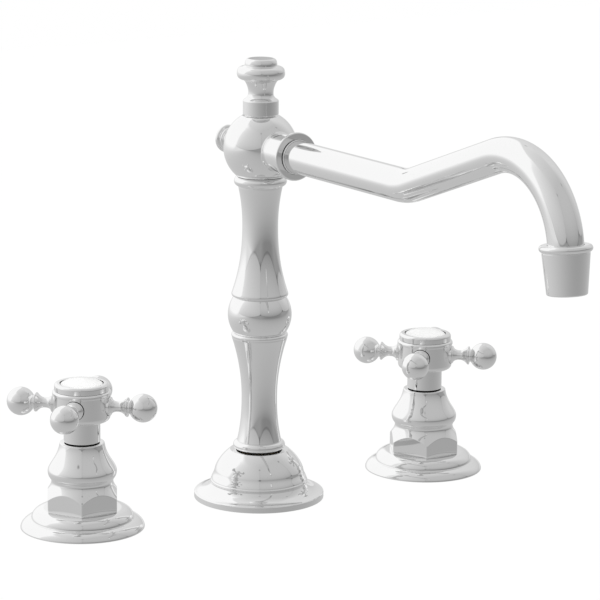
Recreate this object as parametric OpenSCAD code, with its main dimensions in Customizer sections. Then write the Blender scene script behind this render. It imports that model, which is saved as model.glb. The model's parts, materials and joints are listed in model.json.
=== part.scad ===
// Widespread kitchen faucet: a swivelling column spout between two cross-handle valves.
// X runs along the three deck holes, the spout points to -Y, Z is up and z = 0 is the deck.

/* [Layout] */
// Distance between the hot and the cold deck holes
hole_spread = 203.2; // [152:0.1:305]
// Thickness of the deck that the clamp washers grip
deck_t = 30; // [5:0.5:38]
// Running clearance of a shaft in its bore
run_gap = 0.06; // [0.02:0.01:0.1]
// Clearance of a piece that is fixed in its seat
seat_gap = 0.04; // [0.01:0.01:0.1]
// Clearance between faces that turn past each other
turn_gap = 0.1; // [0.05:0.05:0.3]

/* [Spout base] */
// Outer radius of the base flange
base_r = 32.5; // [28:0.1:38]
// Height of the upright band round the base flange
base_band_h = 2.7; // [1.5:0.1:4]
// Outer radius of the bead at the foot of the dome
step_r = 24.35; // [24:0.05:25.5]
// Radius of the bead's round section
step_bead_r = 0.95; // [0.8:0.05:1.2]
// Height of the bead's centre above the deck
step_z = 8.6; // [8:0.1:9]
// Radius of the dome where its side stands nearly upright
dome_r = 22.25; // [22:0.05:22.6]
// Height of that place above the deck
dome_z = 14.2; // [13.5:0.1:15]
// Radius of the dome's flat top
dome_land_r = 14.7; // [14:0.1:16]
// Height of the dome's flat top
dome_top = 24.5; // [20:0.1:26]
// Wall of the flanges
flange_wall = 3; // [1.5:0.1:4]
// Thickness of the rubber gaskets under the flanges
gasket_t = 2; // [1:0.1:2.2]
// Width of the rubber gaskets under the flanges
gasket_w = 5; // [3:0.5:6]

/* [Shanks] */
// Outer radius of the threaded shanks
shank_r = 10.4; // [9:0.1:11]
// Radius of the waterway in the spout shank
water_r = 4.8; // [3:0.1:5.2]
// Length of the threaded shank below the deck
shank_len = 58; // [50:0.5:80]
// Radius of the blocks under the shanks
block_r = 13; // [12:0.1:16]
// Height of the blocks under the shanks
block_h = 26; // [20:0.5:36]
// Outer radius of the hose nipples
nipple_r = 7; // [5:0.1:8]
// Length of the hose nipples
nipple_len = 14; // [8:0.5:24]
// Radius of the bore in the hose nipples
nipple_bore_r = 3.2; // [2:0.1:4.5]
// Length of the supply inlet under each valve
inlet_len = 16; // [10:0.5:24]
// Radius of the supply inlet's bore
inlet_bore_r = 4.2; // [3:0.1:4.6]
// Radius of the deck washers
clamp_r = 24; // [20:0.5:28]
// Thickness of the deck washers
clamp_t = 2; // [1:0.1:3]
// Width across the flats of the deck nuts
nut_flats = 30; // [27:0.5:34]
// Thickness of the deck nuts
nut_t = 8; // [5:0.5:12]

/* [Swivel] */
// Radius of the spigot that the column turns on
spigot_r = 7.4; // [6.8:0.05:7.6]
// Height of the spigot above the dome
spigot_len = 20; // [16:0.5:24]
// Thickness of the glide washer under the column
glide_t = 0.9; // [0.5:0.1:1.5]
// Outer radius of the glide washer under the column
glide_r = 11.45; // [10.5:0.05:11.6]
// Thickness of the shank's head in the dome's top
head_t = 3; // [2:0.1:4]
// Radius of the o-rings' round section
oring_r = 0.75; // [0.6:0.05:0.9]

/* [Column] */
// Outer radius of the collar at the foot of the column
collar_r = 13; // [12.5:0.1:14]
// Height of the collar
collar_h = 3.5; // [3:0.1:4.5]
// Radius of the column just over the collar
foot_r = 11.05; // [10:0.05:11.4]
// Radius of both column waists
waist_r = 8.85; // [8.6:0.05:9.6]
// Height of the lower column over its collar
lower_len = 55.5; // [45:0.5:80]
// Share of the lower column that lies under its waist
lower_waist = 0.4; // [0.3:0.01:0.45]
// Outer radius of the lips that hold the middle ball
lip_r = 14.1; // [13.6:0.1:14.8]
// Radius of the rounding on those lips
lip_round = 1.2; // [0.8:0.1:1.5]
// Radius of the middle ball
ball_r = 15.85; // [15:0.05:17]
// Height of the upper column between its lip and its bead
upper_len = 54.9; // [45:0.5:80]
// Share of the upper column that lies under its waist
upper_waist = 0.65; // [0.5:0.01:0.7]
// Radius of the upper column under its bead
neck_r = 10.9; // [10.2:0.1:11.4]
// Outer radius of the bead under the hub
bead_r = 13.05; // [12.6:0.05:13.6]
// Radius of the bead's round section
bead_round = 2.45; // [2:0.05:2.6]
// Outer radius of the water tube inside the column
riser_r = 5.9; // [5.5:0.1:6.2]
// Wall of the water tube
riser_wall = 1; // [0.6:0.1:1.2]

/* [Hub] */
// Radius of the hub ball
hub_r = 18.3; // [17.5:0.1:20]
// Wall of the hub ball
hub_wall = 3.8; // [2.5:0.1:5]
// Height of the hub ball's centre over the bead's centre
hub_rise = 16.6; // [16:0.1:17.5]
// Radius of the boss that carries the spout tube
boss_r = 9.7; // [9.4:0.1:11]
// Distance from the column's axis to the boss's end
boss_len = 31.2; // [26:0.1:36]
// Outer radius of the ring at the boss's end
ring_r = 12; // [11.5:0.1:13]
// Thickness of that ring
ring_t = 2.4; // [2:0.1:3]
// Outer radius of the ferrule round the tube
ferrule_r = 9.15; // [9:0.05:9.4]
// How far the ferrule stands out of the ring
ferrule_out = 3.6; // [2:0.1:5]
// Shadow gap between the ferrule and the ring
ferrule_gap = 0.3; // [0.15:0.05:0.4]
// Radius of the rear plug's disc
plug_r = 6.95; // [6:0.05:8]
// Distance from the column's axis to the rear plug's end
plug_len = 33; // [28:0.5:36]

/* [Spout tube] */
// Outer radius of the spout tube
tube_r = 8.2; // [7.6:0.05:8.5]
// Wall of the spout tube
tube_wall = 1.2; // [0.8:0.1:1.6]
// Distance from the column's axis to the rising bend
tube_flat = 118.6; // [80:0.1:160]
// Rise of the tube after its first bend, in degrees
tube_rise = 20; // [12:0.5:30]
// Radius of the first bend
rise_bend_r = 36; // [20:0.5:60]
// Length of the straight stretch between the bends
tube_ramp = 63.0; // [40:0.1:90]
// Radius of the bend that turns the tube down
down_bend_r = 38.5; // [30:0.1:60]
// Length of the upright stretch at the tube's end
tube_drop = 7.0; // [5:0.1:20]

/* [Aerator] */
// Height of the aerator shell
shell_h = 20.8; // [18:0.1:26]
// Radius of the shell at its outlet
outlet_r = 8.75; // [8.6:0.05:9.5]
// Radius of the shell's cone under its bead
shell_r = 10.4; // [10:0.05:11]
// Outer radius of the shell's bead
shell_bead_r = 11.75; // [11.2:0.05:12.4]
// Radius of the bead's round section
shell_bead_round = 1.55; // [1:0.05:1.7]
// Length of tube inside the shell
shell_grip = 12.6; // [9:0.1:13]
// Radius of the holes in the screen
mesh_hole_r = 0.72; // [0.5:0.02:0.8]
// Distance between those holes
mesh_pitch = 1.95; // [1.8:0.05:2.1]

/* [Finial] */
// Radius of the finial's collar
finial_collar_r = 8.8; // [8.4:0.1:9.1]
// Height of the finial's collar
finial_collar_h = 7.2; // [5:0.1:10]
// Radius of the finial's neck
finial_neck_r = 5.95; // [5.2:0.05:6.6]
// Radius of the finial's disc
finial_disc_r = 12.05; // [11:0.05:13]
// Radius of the button on the disc
finial_button_r = 8.2; // [7.4:0.1:8.8]
// Height of the finial from the hub to its top
finial_h = 30.2; // [27:0.1:36]

/* [Valves] */
// Outer radius of the valve flanges
flange_r = 30.15; // [28:0.05:33]
// Radius of the groove between a valve flange's two rings
groove_r = 25; // [23.5:0.1:26]
// Height of that groove
groove_z = 4.9; // [4.2:0.1:5.5]
// Radius where the upper ring meets the flange's flat top
flange_top_r = 18.6; // [17.5:0.1:20]
// Height of the valve flanges
flange_h = 9.6; // [8.5:0.1:11]
// Radius over the corners of the bonnet's hexagon
hex_r = 19.25; // [18.4:0.05:20]
// Height where the hexagon's corners start to fade
hex_h = 15.6; // [14.5:0.1:17]
// Radius of the bonnet's groove
bonnet_neck_r = 15.3; // [15:0.05:15.9]
// Height of the bonnet's groove
bonnet_neck_z = 23.3; // [22:0.1:24]
// Radius of the bonnet's bulge
bonnet_bulge_r = 16.7; // [16.2:0.05:17.4]
// Height of the bonnet's bulge
bonnet_bulge_z = 28.2; // [27:0.1:29]
// Radius of the bonnet's rim
bonnet_rim_r = 11; // [10.4:0.05:11.6]
// Height of the bonnet's rim
bonnet_h = 43.9; // [41:0.1:48]
// Outer radius of the valve body above the deck
valve_r = 12; // [11.5:0.1:12.6]
// Height of the valve body above the deck
valve_h = 26; // [24:0.1:27]
// Outer radius of the cartridge in the valve body
cartridge_r = 8.4; // [8:0.05:8.8]
// Radius of the cartridge's neck
cartridge_neck_r = 5; // [4.6:0.05:5.2]
// Radius of the fixed ceramic disc
disc_r = 7.3; // [6.8:0.05:7.5]
// Thickness of each ceramic disc
disc_t = 3; // [2:0.1:3.5]
// Outer radius of the glide washer under the handle
handle_glide_r = 8.55; // [8:0.05:8.9]
// Thickness of that glide washer
handle_glide_t = 0.7; // [0.4:0.05:1.2]

/* [Handles] */
// Radius of the spindle
spindle_r = 3.4; // [3:0.05:3.8]
// Radius of the handle's stem
stem_r = 9; // [8.8:0.05:9.6]
// Height of the stem under the hub
stem_h = 6.2; // [5:0.1:9]
// Radius of the handle's hub
handle_hub_r = 13.85; // [13.2:0.05:15]
// Height of the handle's hub
handle_hub_h = 17.3; // [16:0.1:20]
// Radius of the rounding under the hub
handle_hub_round = 2.6; // [1:0.1:4]
// Height of the arms over the hub's underside
arm_rise = 10; // [9:0.1:10.2]
// Distance from the hub's axis to a ball's centre
arm_reach = 30.4; // [26:0.1:36]
// Radius of the balls on the arms
arm_ball_r = 6.9; // [6:0.05:7.5]
// Radius of an arm's neck
arm_neck_r = 2.45; // [2:0.05:3]
// Radius of the thin collar behind a ball
arm_collar_r = 4.7; // [4.2:0.05:5.2]
// Radius of the shoulder that seats in the hub
arm_root_r = 4.6; // [4:0.05:4.8]
// Shadow gap round that shoulder
arm_root_gap = 0.2; // [0.1:0.05:0.3]
// Radius of the ring round the porcelain button
cap_r = 13.25; // [12.6:0.05:13.6]
// Height of that ring
cap_h = 3.5; // [3:0.1:5]
// Radius of the porcelain button
button_r = 10.5; // [9.8:0.05:11]
// Thickness of the porcelain button at its rim
button_t = 2.2; // [1.5:0.1:2.6]

/* [Hidden] */
$fn = 64;

chrome = [0.86, 0.87, 0.88];
brass = [0.8, 0.67, 0.35];
steel = [0.66, 0.67, 0.69];
black = [0.06, 0.06, 0.06];
rubber = [0.12, 0.12, 0.12];
porcelain = [0.97, 0.97, 0.96];
ceramic = [0.9, 0.88, 0.84];
nylon = [0.85, 0.85, 0.82];

// A cut runs this far past the face that it opens
over = 1;
// Small edge rounding
edge = 0.4;

handle_x = hole_spread / 2;

// Heights up the column
head_r = glide_r - 0.15;
head_z = dome_top - head_t;
glide_z = dome_top;
collar_z = glide_z + glide_t + turn_gap;
lower_z = collar_z + collar_h;
lip_z = lower_z + lower_len;
lip_seat_r = lip_r - lip_round;
ball_z = lip_z + sqrt(ball_r * ball_r - lip_seat_r * lip_seat_r);
skirt_z = 2 * ball_z - lip_z;
neck_z = skirt_z + upper_len;
bead_z = neck_z + bead_round + 0.6;
hub_z = bead_z + hub_rise;
finial_z = hub_z + sqrt(hub_r * hub_r - pow(finial_collar_r + 0.35, 2));
socket_r = spigot_r + run_gap;
socket_top = glide_z + spigot_len + 0.6;
riser_bore_r = riser_r + seat_gap;
riser_top = hub_z - hub_r + hub_wall + 2.5;

// Groups below the deck
clamp_z = -deck_t - clamp_t;
nut_z = clamp_z - nut_t;
block_z = -shank_len - block_h;
nipple_z = block_z + nipple_r + 3;
shoulder_drop = 4;

// Swivel grooves
screw_z = collar_z + collar_h / 2;
screw_r = 1.25;
screw_groove_r = spigot_r - 1;
oring_zs = [for (i = [0, 1]) lower_z + 3 + 8 * i];
oring_ring_r = spigot_r + run_gap / 2 - oring_r;

// Both column halves widen downwards with this power
foot_power = 2.25;

// Hub bosses
finial_stud_r = 4;
finial_stud_len = 8;
plug_stud_r = 3.4;
tube_start = 12;
ring_end = boss_len + ring_t;
ferrule_z = ring_end - 1.2;
tube_bore_r = tube_r + seat_gap;
// Room round the tube where its bend starts inside the outlet shell
bend_room = 0.6;

// Spout tube's way, in the plane x = 0, as [distance from the column, height]
bend_a = [tube_flat, hub_z + rise_bend_r];
rise_dir = [cos(tube_rise), sin(tube_rise)];
rise_up = [-sin(tube_rise), cos(tube_rise)];
ramp_start = bend_a - rise_bend_r * rise_up;
ramp_end = ramp_start + tube_ramp * rise_dir;
bend_b = ramp_end - down_bend_r * rise_up;
tube_reach = bend_b[0] + down_bend_r;
tube_end_z = bend_b[1] - tube_drop;
band_t = 0.05;
band_w = 1.2;

// Aerator
shell_top = tube_end_z + shell_grip;
shell_z = shell_top - shell_h;
insert_r = tube_r - 0.35;
screen_z = shell_z + 1.25;
screen_t = 0.75;
insert_h = 4.6;
insert_z = screen_z + screen_t;
washer_z = insert_z + insert_h;
mesh_rings = 3;

// Valve and handle heights
bore_gap_r = valve_r + 0.1;
pocket_r = cartridge_r + seat_gap;
cartridge_z = valve_h - 12;
cavity_r = disc_r + seat_gap;
seal_t = 1.6;
disc_z = cartridge_z + 0.2;
moving_z = disc_z + disc_t + turn_gap / 2;
moving_disc_r = disc_r - 0.4;
foot_z = moving_z + disc_t;
foot_t = 2;
cavity_top = foot_z + foot_t + 0.4;
cartridge_flange_t = 2.5;
cartridge_flange_z = valve_h;
bonnet_step_z = valve_h + cartridge_flange_t + seat_gap;
cartridge_mid_z = bonnet_step_z + 7;
handle_glide_z = bonnet_h;
stem_z = handle_glide_z + handle_glide_t + turn_gap;
handle_hub_z = stem_z + stem_h;
hub_top = handle_hub_z + handle_hub_h;
arm_z = handle_hub_z + arm_rise;
cartridge_top = stem_z + 2.3;
stem_bore_r = cartridge_neck_r + 0.3;
stem_bore_top = cartridge_top + 2.7;
spindle_top = handle_hub_z + 6.2;
recess_z = arm_z + 3.3;
recess_r = button_r - 0.45;
cap_z = hub_top + seat_gap;
cap_top = cap_z + cap_h;
button_z = cap_top - button_t - 0.2;
screw_shank_r = 1.9;
screw_head_r = 3.8;
screw_len = recess_z - spindle_top + 7;
passage_r = 1.4;
passage_x = shank_r - passage_r - 1;

// Points of an arc from angle a to angle b round c
function arc(c, r, a, b, n) = [for (i = [0:n]) let (t = a + (b - a) * i / n) c + r * [cos(t), sin(t)]];
// Points of a smooth curve from p to s that leaves towards q and arrives from r
function bend(p, q, r, s, n) = [for (i = [0:n]) let (t = i / n, u = 1 - t)
    u * u * u * p + 3 * u * u * t * q + 3 * u * t * t * r + t * t * t * s];
// Points of a column that widens from its waist with a power of the height
function flare(z0, z1, r0, r1, n, power = 2) = [for (i = [0:n]) let (t = i / n)
    [r0 + (r1 - r0) * pow(t, power), z0 + (z1 - z0) * t]];
function backwards(v) = [for (i = [len(v) - 1:-1:0]) v[i]];

// A turned solid from its outer outline, closed on the axis
module turned(outline) {
    first = outline[0];
    last = outline[len(outline) - 1];
    rotate_extrude() polygon(concat([[0, first[1]]], outline, [[0, last[1]]]));
}

// A bore from z0 to z1
module bore(r, z0, z1) {
    translate([0, 0, z0]) cylinder(r = r, h = z1 - z0);
}

// A flat ring
module washer(outer, inner, z, t) {
    difference() {
        bore(outer, z, z + t);
        bore(inner, z - over, z + t + over);
    }
}

// A hexagonal nut with turned corners
module hex_nut(flats, inner, z, t) {
    corner = flats / sqrt(3);
    cut = corner - flats / 2;
    difference() {
        intersection() {
            translate([0, 0, z]) cylinder(r = corner, h = t, $fn = 6);
            turned([[flats / 2, z], [corner, z + cut / 2], [corner, z + t - cut / 2], [flats / 2, z + t]]);
        }
        bore(inner, z - over, z + t + over);
    }
}

// Turns a solid that was drawn along Z to point along -Y from the hub's axis
module along_spout() {
    translate([0, 0, hub_z]) rotate([90, 0, 0]) children();
}

// Puts a valve's piece at its deck hole, with its hose nipple towards the spout
module at_valve(side) {
    translate([side * handle_x, 0, 0]) rotate([0, 0, side < 0 ? 0 : 180]) children();
}

// Spout base

module spout_flange() {
    rim = [base_r - edge, base_band_h + edge];
    bead_c = [step_r - step_bead_r, step_z];
    bead_end = bead_c + step_bead_r * [cos(60), sin(60)];
    hollow_r = 21.6;
    hollow_z = 4.8;
    hollow_top = head_z - flange_wall;
    hollow_a = min(acos((head_r + 2.6) / hollow_r), asin((hollow_top - hollow_z) / hollow_r));
    seat_in = base_r - 4 - gasket_w;
    color(chrome) rotate_extrude() polygon(concat(
        [[base_r, 0], [base_r, base_band_h]],
        bend(rim, [base_r - 3.6, base_band_h + edge + 0.2], [step_r + 1.45, step_z - 4.2],
            [step_r - 0.15, step_z - 1], 10),
        arc(bead_c, step_bead_r, -30, 60, 8),
        bend(bead_end + [0.1, 0.3], [step_r - 0.95, dome_z - 2.6],
            [dome_r + 0.35, dome_z - 2.3], [dome_r, dome_z], 6),
        bend([dome_r - 0.02, dome_z + 0.1], [dome_r - 0.75, dome_z + 3],
            [dome_r - 3.15, dome_top - 3.5], [dome_land_r, dome_top], 14),
        [[head_r + 0.25, dome_top], [head_r + 0.25, head_z], [shank_r + 0.2, head_z]],
        [[shank_r + 0.2, hollow_top], [head_r + 2.6, hollow_top]],
        arc([0, hollow_z], hollow_r, hollow_a, 2, 8),
        [[hollow_r, gasket_t + seat_gap], [seat_in + gasket_w, gasket_t + seat_gap]],
        [[seat_in + gasket_w, 0]]
    ));
}

module spout_gasket() {
    outer = base_r - 4 - seat_gap;
    color(rubber) washer(outer, outer - gasket_w, 0, gasket_t);
}

module spout_shank() {
    color(brass) difference() {
        union() {
            bore(shank_r, -shank_len - 6, head_z);
            bore(head_r, head_z, dome_top);
            bore(spigot_r, dome_top, dome_top + spigot_len);
        }
        bore(water_r, -shank_len - 6 - over, dome_top + spigot_len + over);
        washer(spigot_r + over, screw_groove_r, screw_z - 1.1, 2.2);
        for (z = oring_zs) {
            washer(spigot_r + over, oring_ring_r - oring_r, z - oring_r, 2 * oring_r);
        }
    }
}

module spout_o_rings() {
    for (z = oring_zs) {
        color(rubber) translate([0, 0, z]) rotate_extrude() translate([oring_ring_r, 0]) circle(r = oring_r);
    }
}

module spout_glide_washer() {
    color(black) washer(glide_r, spigot_r + run_gap, glide_z, glide_t);
}

module spout_tee() {
    color(brass) difference() {
        union() {
            bore(block_r, block_z, -shank_len);
            translate([0, 0, nipple_z]) rotate([0, 90, 0])
                bore(nipple_r, -block_r - nipple_len, block_r + nipple_len);
        }
        bore(shank_r + seat_gap, -shank_len - 6 - seat_gap, -shank_len + over);
        bore(water_r, nipple_z, -shank_len);
        translate([0, 0, nipple_z]) rotate([0, 90, 0])
            bore(nipple_bore_r, -block_r - nipple_len - over, block_r + nipple_len + over);
    }
}

module deck_washer() {
    color(steel) washer(clamp_r, shank_r + seat_gap, clamp_z, clamp_t);
}

module deck_nut() {
    color(brass) hex_nut(nut_flats, shank_r + seat_gap, nut_z, nut_t);
}

// Column

module lower_column() {
    waist_z = lower_z + lower_len * lower_waist;
    round_h = collar_h / 2;
    color(chrome) difference() {
        turned(concat(
            arc([collar_r - round_h, collar_z + round_h], round_h, -90, 90, 10),
            backwards(flare(waist_z, lower_z + 0.3, waist_r, foot_r, 10, foot_power)),
            flare(waist_z, lip_z - 2.6, waist_r, lip_r - 0.3, 12),
            arc([lip_seat_r, lip_z - lip_round], lip_round, -40, 90, 8)
        ));
        bore(socket_r, collar_z - over, socket_top);
        bore(riser_bore_r, socket_top - over, lip_z + over);
        translate([0, 0, ball_z]) sphere(r = ball_r + seat_gap);
        translate([0, 0, screw_z]) rotate([-90, 0, 0]) bore(screw_r + seat_gap, spigot_r, collar_r + over);
    }
}

module set_screw() {
    tip = screw_groove_r + 0.4;
    outer = collar_r - 0.5;
    color(steel) translate([0, 0, screw_z]) rotate([-90, 0, 0]) difference() {
        union() {
            bore(screw_r, socket_r + 0.4, outer);
            bore(screw_r * 0.55, tip, outer - over);
        }
        translate([0, 0, outer - 1.4]) cylinder(r = screw_r * 0.6, h = 2, $fn = 6);
    }
}

module middle_ball() {
    flat = ball_z - lip_z + 2;
    color(chrome) translate([0, 0, ball_z]) difference() {
        sphere(r = ball_r);
        bore(riser_bore_r, -ball_r - over, ball_r + over);
        bore(ball_r + over, flat, ball_r + over);
        bore(ball_r + over, -ball_r - over, -flat);
    }
}

module upper_column() {
    waist_z = skirt_z + upper_len * upper_waist;
    bead_c = [bead_r - bead_round, bead_z];
    color(chrome) difference() {
        turned(concat(
            arc([lip_seat_r, skirt_z + lip_round], lip_round, -90, 10, 6),
            backwards(flare(waist_z, skirt_z + 1.9, waist_r, lip_r - 0.1, 14, foot_power)),
            flare(waist_z, neck_z, waist_r, neck_r, 8),
            [[neck_r, neck_z + 0.6]],
            arc(bead_c, bead_round, -80, 90, 10)
        ));
        bore(riser_bore_r, skirt_z - over, bead_z + bead_round + over);
        translate([0, 0, ball_z]) sphere(r = ball_r + seat_gap);
        translate([0, 0, hub_z]) sphere(r = hub_r + turn_gap);
    }
}

module riser_tube() {
    color(brass) washer(riser_r, riser_r - riser_wall, socket_top + 0.5, riser_top - socket_top - 0.5);
}

// Hub

module hub_ball() {
    inner_r = hub_r - hub_wall;
    finial_seat = finial_z - hub_z;
    color(chrome) difference() {
        union() {
            difference() {
                translate([0, 0, hub_z]) sphere(r = hub_r);
                translate([0, 0, hub_z]) sphere(r = inner_r);
            }
            difference() {
                along_spout() bore(boss_r, tube_start, boss_len);
                along_spout() bore(tube_r - tube_wall, tube_start - over, boss_len + over);
            }
            bore(finial_stud_r + 3, hub_z + inner_r - 3, hub_z + finial_seat - over);
            along_spout() bore(plug_stud_r + 3, -inner_r - 1.2, -inner_r + 3);
        }
        along_spout() bore(tube_bore_r, tube_start + 3, boss_len + over);
        bore(riser_bore_r, hub_z - hub_r - over, hub_z - inner_r + 3);
        bore(finial_stud_r + seat_gap, hub_z + inner_r - 4, hub_z + hub_r + over);
        bore(hub_r, finial_z, hub_z + hub_r + over);
        along_spout() bore(plug_stud_r + seat_gap, -hub_r - over, -inner_r + 4);
    }
}

module rear_plug() {
    neck = plug_r - 1.75;
    start = sqrt(hub_r * hub_r - neck * neck) + seat_gap;
    round_r = 1.5;
    rim = plug_len - 2.6;
    color(chrome) along_spout() mirror([0, 0, 1]) {
        difference() {
            turned(concat(
                [[neck, start - 2], [neck, rim - 4.2]],
                arc([neck, rim - 3], 0.9, -90, 90, 6),
                arc([plug_r - round_r, rim], round_r, -90, 60, 8),
                bend([plug_r - 1.2, rim + 1.6], [plug_r - 3, plug_len - 0.2], [2, plug_len], [0, plug_len], 6)
            ));
            sphere(r = hub_r + seat_gap);
        }
        bore(plug_stud_r, hub_r - hub_wall - 2, start + 1);
    }
}

module tube_ring() {
    color(chrome) along_spout() difference() {
        turned([[ring_r - edge, boss_len + seat_gap], [ring_r, boss_len + edge],
            [ring_r, ring_end - edge], [ring_r - edge, ring_end]]);
        bore(tube_bore_r, boss_len - over, ring_end + over);
        bore(ferrule_r + ferrule_gap, ferrule_z - 0.2, ring_end + over);
    }
}

module tube_ferrule() {
    end = ring_end + ferrule_out;
    color(chrome) along_spout() difference() {
        turned(concat([[ferrule_r, ferrule_z]], arc([ferrule_r - 0.8, end - 0.8], 0.8, 0, 90, 6)));
        bore(tube_bore_r, ferrule_z - over, end + over);
    }
}

// One bend of the spout tube: c is its centre, from angle a through angle turn
module tube_bend(c, bend_r, a, turn) {
    translate([0, -c[0], c[1]]) rotate([90, 0, 90]) rotate([0, 0, a])
        rotate_extrude(angle = turn) translate([bend_r, 0]) difference() {
            circle(r = tube_r);
            circle(r = tube_r - tube_wall);
        }
}

// One straight stretch of the spout tube
module tube_stretch(z0, z1) {
    difference() {
        bore(tube_r, z0, z1);
        bore(tube_r - tube_wall, z0 - over, z1 + over);
    }
}

// A hair-thin band that joins two stretches of the spout tube
module tube_band(z) {
    washer(tube_r + band_t, tube_r - tube_wall - band_t, z - band_w / 2, band_w);
}

module at_ramp() {
    translate([0, -ramp_start[0], ramp_start[1]]) rotate([90 - tube_rise, 0, 0]) children();
}

module spout_tube() {
    color(chrome) union() {
        along_spout() tube_stretch(tube_start + 3.2, tube_flat);
        along_spout() tube_band(tube_flat);
        tube_bend(bend_a, rise_bend_r, -90 - tube_rise, tube_rise);
        at_ramp() tube_band(0);
        at_ramp() tube_stretch(0, tube_ramp);
        at_ramp() tube_band(tube_ramp);
        tube_bend(bend_b, down_bend_r, 90 - tube_rise, 90 + tube_rise);
        at_outlet() tube_band(bend_b[1]);
        at_outlet() tube_stretch(tube_end_z, bend_b[1]);
    }
}

module finial() {
    z = finial_z;
    top = z + finial_h;
    disc_c = z + finial_h - 9.4;
    neck_z0 = z + finial_collar_h + 4.4;
    color(chrome) turned(concat(
        [[finial_collar_r - 0.7, z], [finial_collar_r - 0.7, z + 0.5], [finial_collar_r, z + 0.5]],
        [[finial_collar_r, z + finial_collar_h - edge]],
        bend([finial_collar_r - edge, z + finial_collar_h + 0.2],
            [finial_collar_r - 2, z + finial_collar_h + 1.4],
            [finial_neck_r, neck_z0 - 1.8], [finial_neck_r, neck_z0], 6),
        bend([finial_neck_r, neck_z0 + 0.4], [finial_neck_r, neck_z0 + 2.2],
            [finial_button_r - 1, disc_c - 4.9], [finial_button_r - 0.4, disc_c - 4.2], 6),
        [[finial_button_r, disc_c - 3.4], [finial_button_r + 0.4, disc_c - 3.2]],
        bend([finial_button_r + 1.4, disc_c - 3.1], [finial_disc_r - 0.6, disc_c - 2.4],
            [finial_disc_r, disc_c - 1.2], [finial_disc_r, disc_c + 0.1], 6),
        bend([finial_disc_r, disc_c + 0.3], [finial_disc_r, disc_c + 2],
            [finial_disc_r - 0.7, disc_c + 3], [finial_button_r + 0.9, disc_c + 3.7], 6),
        [[finial_button_r, disc_c + 4]],
        bend([finial_button_r, disc_c + 5.6], [finial_button_r - 0.2, top - 1.6], [5, top], [0, top], 8)
    ));
    color(chrome) bore(finial_stud_r, z - finial_stud_len, z + over);
}

// Aerator

module at_outlet() {
    translate([0, -tube_reach, 0]) children();
}

module aerator_shell() {
    bead_c = [shell_bead_r - shell_bead_round, shell_top - shell_bead_round];
    cone_top = bead_c[1] - shell_bead_round - 0.3;
    color(chrome) at_outlet() difference() {
        turned(concat(
            [[outlet_r - edge, shell_z], [outlet_r, shell_z + edge]],
            [[shell_r, cone_top], [shell_r - 0.3, cone_top + 0.2]],
            arc(bead_c, shell_bead_round, -75, 90, 10)
        ));
        bore(tube_bore_r, tube_end_z - seat_gap, shell_top + over);
        bore(tube_r + bend_room, bend_b[1] - band_w, shell_top + over);
        bore(insert_r + seat_gap, screen_z - seat_gap, tube_end_z + over);
        bore(insert_r - 0.65, shell_z - over, screen_z + over);
    }
}

module aerator_gasket() {
    color(rubber) at_outlet() washer(insert_r, insert_r - 2.2, washer_z, tube_end_z - washer_z - seat_gap);
}

module aerator_insert() {
    jets = 12;
    jet_r = 0.7;
    color(nylon) at_outlet() difference() {
        bore(insert_r, insert_z, washer_z);
        for (i = [0:jets - 1]) {
            rotate([0, 0, i * 360 / jets]) translate([insert_r - 3.4, 0, 0])
                bore(jet_r, insert_z - over, washer_z + over);
        }
        bore(1.6, insert_z - over, washer_z + over);
    }
}

module aerator_screen() {
    row_h = mesh_pitch * sqrt(3) / 2;
    color(steel) at_outlet() difference() {
        bore(insert_r, screen_z, screen_z + screen_t);
        for (row = [-mesh_rings:mesh_rings]) {
            for (i = [0:2 * mesh_rings - abs(row)]) {
                translate([(i - mesh_rings + abs(row) / 2) * mesh_pitch, row * row_h, 0])
                    bore(mesh_hole_r, screen_z - over, screen_z + screen_t + over);
            }
        }
    }
}

// Valves

module valve_flange() {
    ring_rise = 0.9;
    in_r = valve_r + 0.15;
    seat_out = flange_r - 2.6;
    seat_in = seat_out - gasket_w;
    under = flange_h - flange_wall;
    color(chrome) rotate_extrude() polygon(concat(
        [[flange_r, 0]],
        bend([flange_r, ring_rise], [flange_r, groove_z - 1.4],
            [flange_r - 2, groove_z + 0.2], [groove_r + 0.2, groove_z], 8),
        bend([groove_r - 0.1, groove_z + 0.2], [groove_r - 0.2, groove_z + 2.6], [groove_r - 2.4, flange_h],
            [flange_top_r, flange_h], 8),
        [[in_r, flange_h], [in_r, under], [flange_top_r - 1.5, under]],
        [[seat_in, gasket_t + 1.4], [seat_in, gasket_t + seat_gap]],
        [[seat_out, gasket_t + seat_gap], [seat_out, 0]]
    ));
}

module valve_gasket() {
    outer = flange_r - 2.6 - seat_gap;
    color(rubber) washer(outer, outer - gasket_w + 2 * seat_gap, 0, gasket_t);
}

module valve_body() {
    bottom = block_z - inlet_len;
    color(brass) difference() {
        union() {
            bore(shank_r, bottom, 0);
            bore(valve_r, -shoulder_drop, valve_h);
            bore(block_r, block_z, -shank_len);
            translate([0, 0, nipple_z]) rotate([0, 90, 0]) bore(nipple_r, 0, block_r + nipple_len);
        }
        bore(inlet_bore_r, bottom - over, cartridge_z);
        bore(pocket_r, cartridge_z - seal_t, valve_h + over);
        translate([passage_x, 0, 0]) bore(passage_r, nipple_z, cartridge_z);
        translate([0, 0, nipple_z]) rotate([0, 90, 0])
            bore(min(nipple_bore_r, passage_r + 1.6), passage_x, block_r + nipple_len + over);
    }
}

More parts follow.
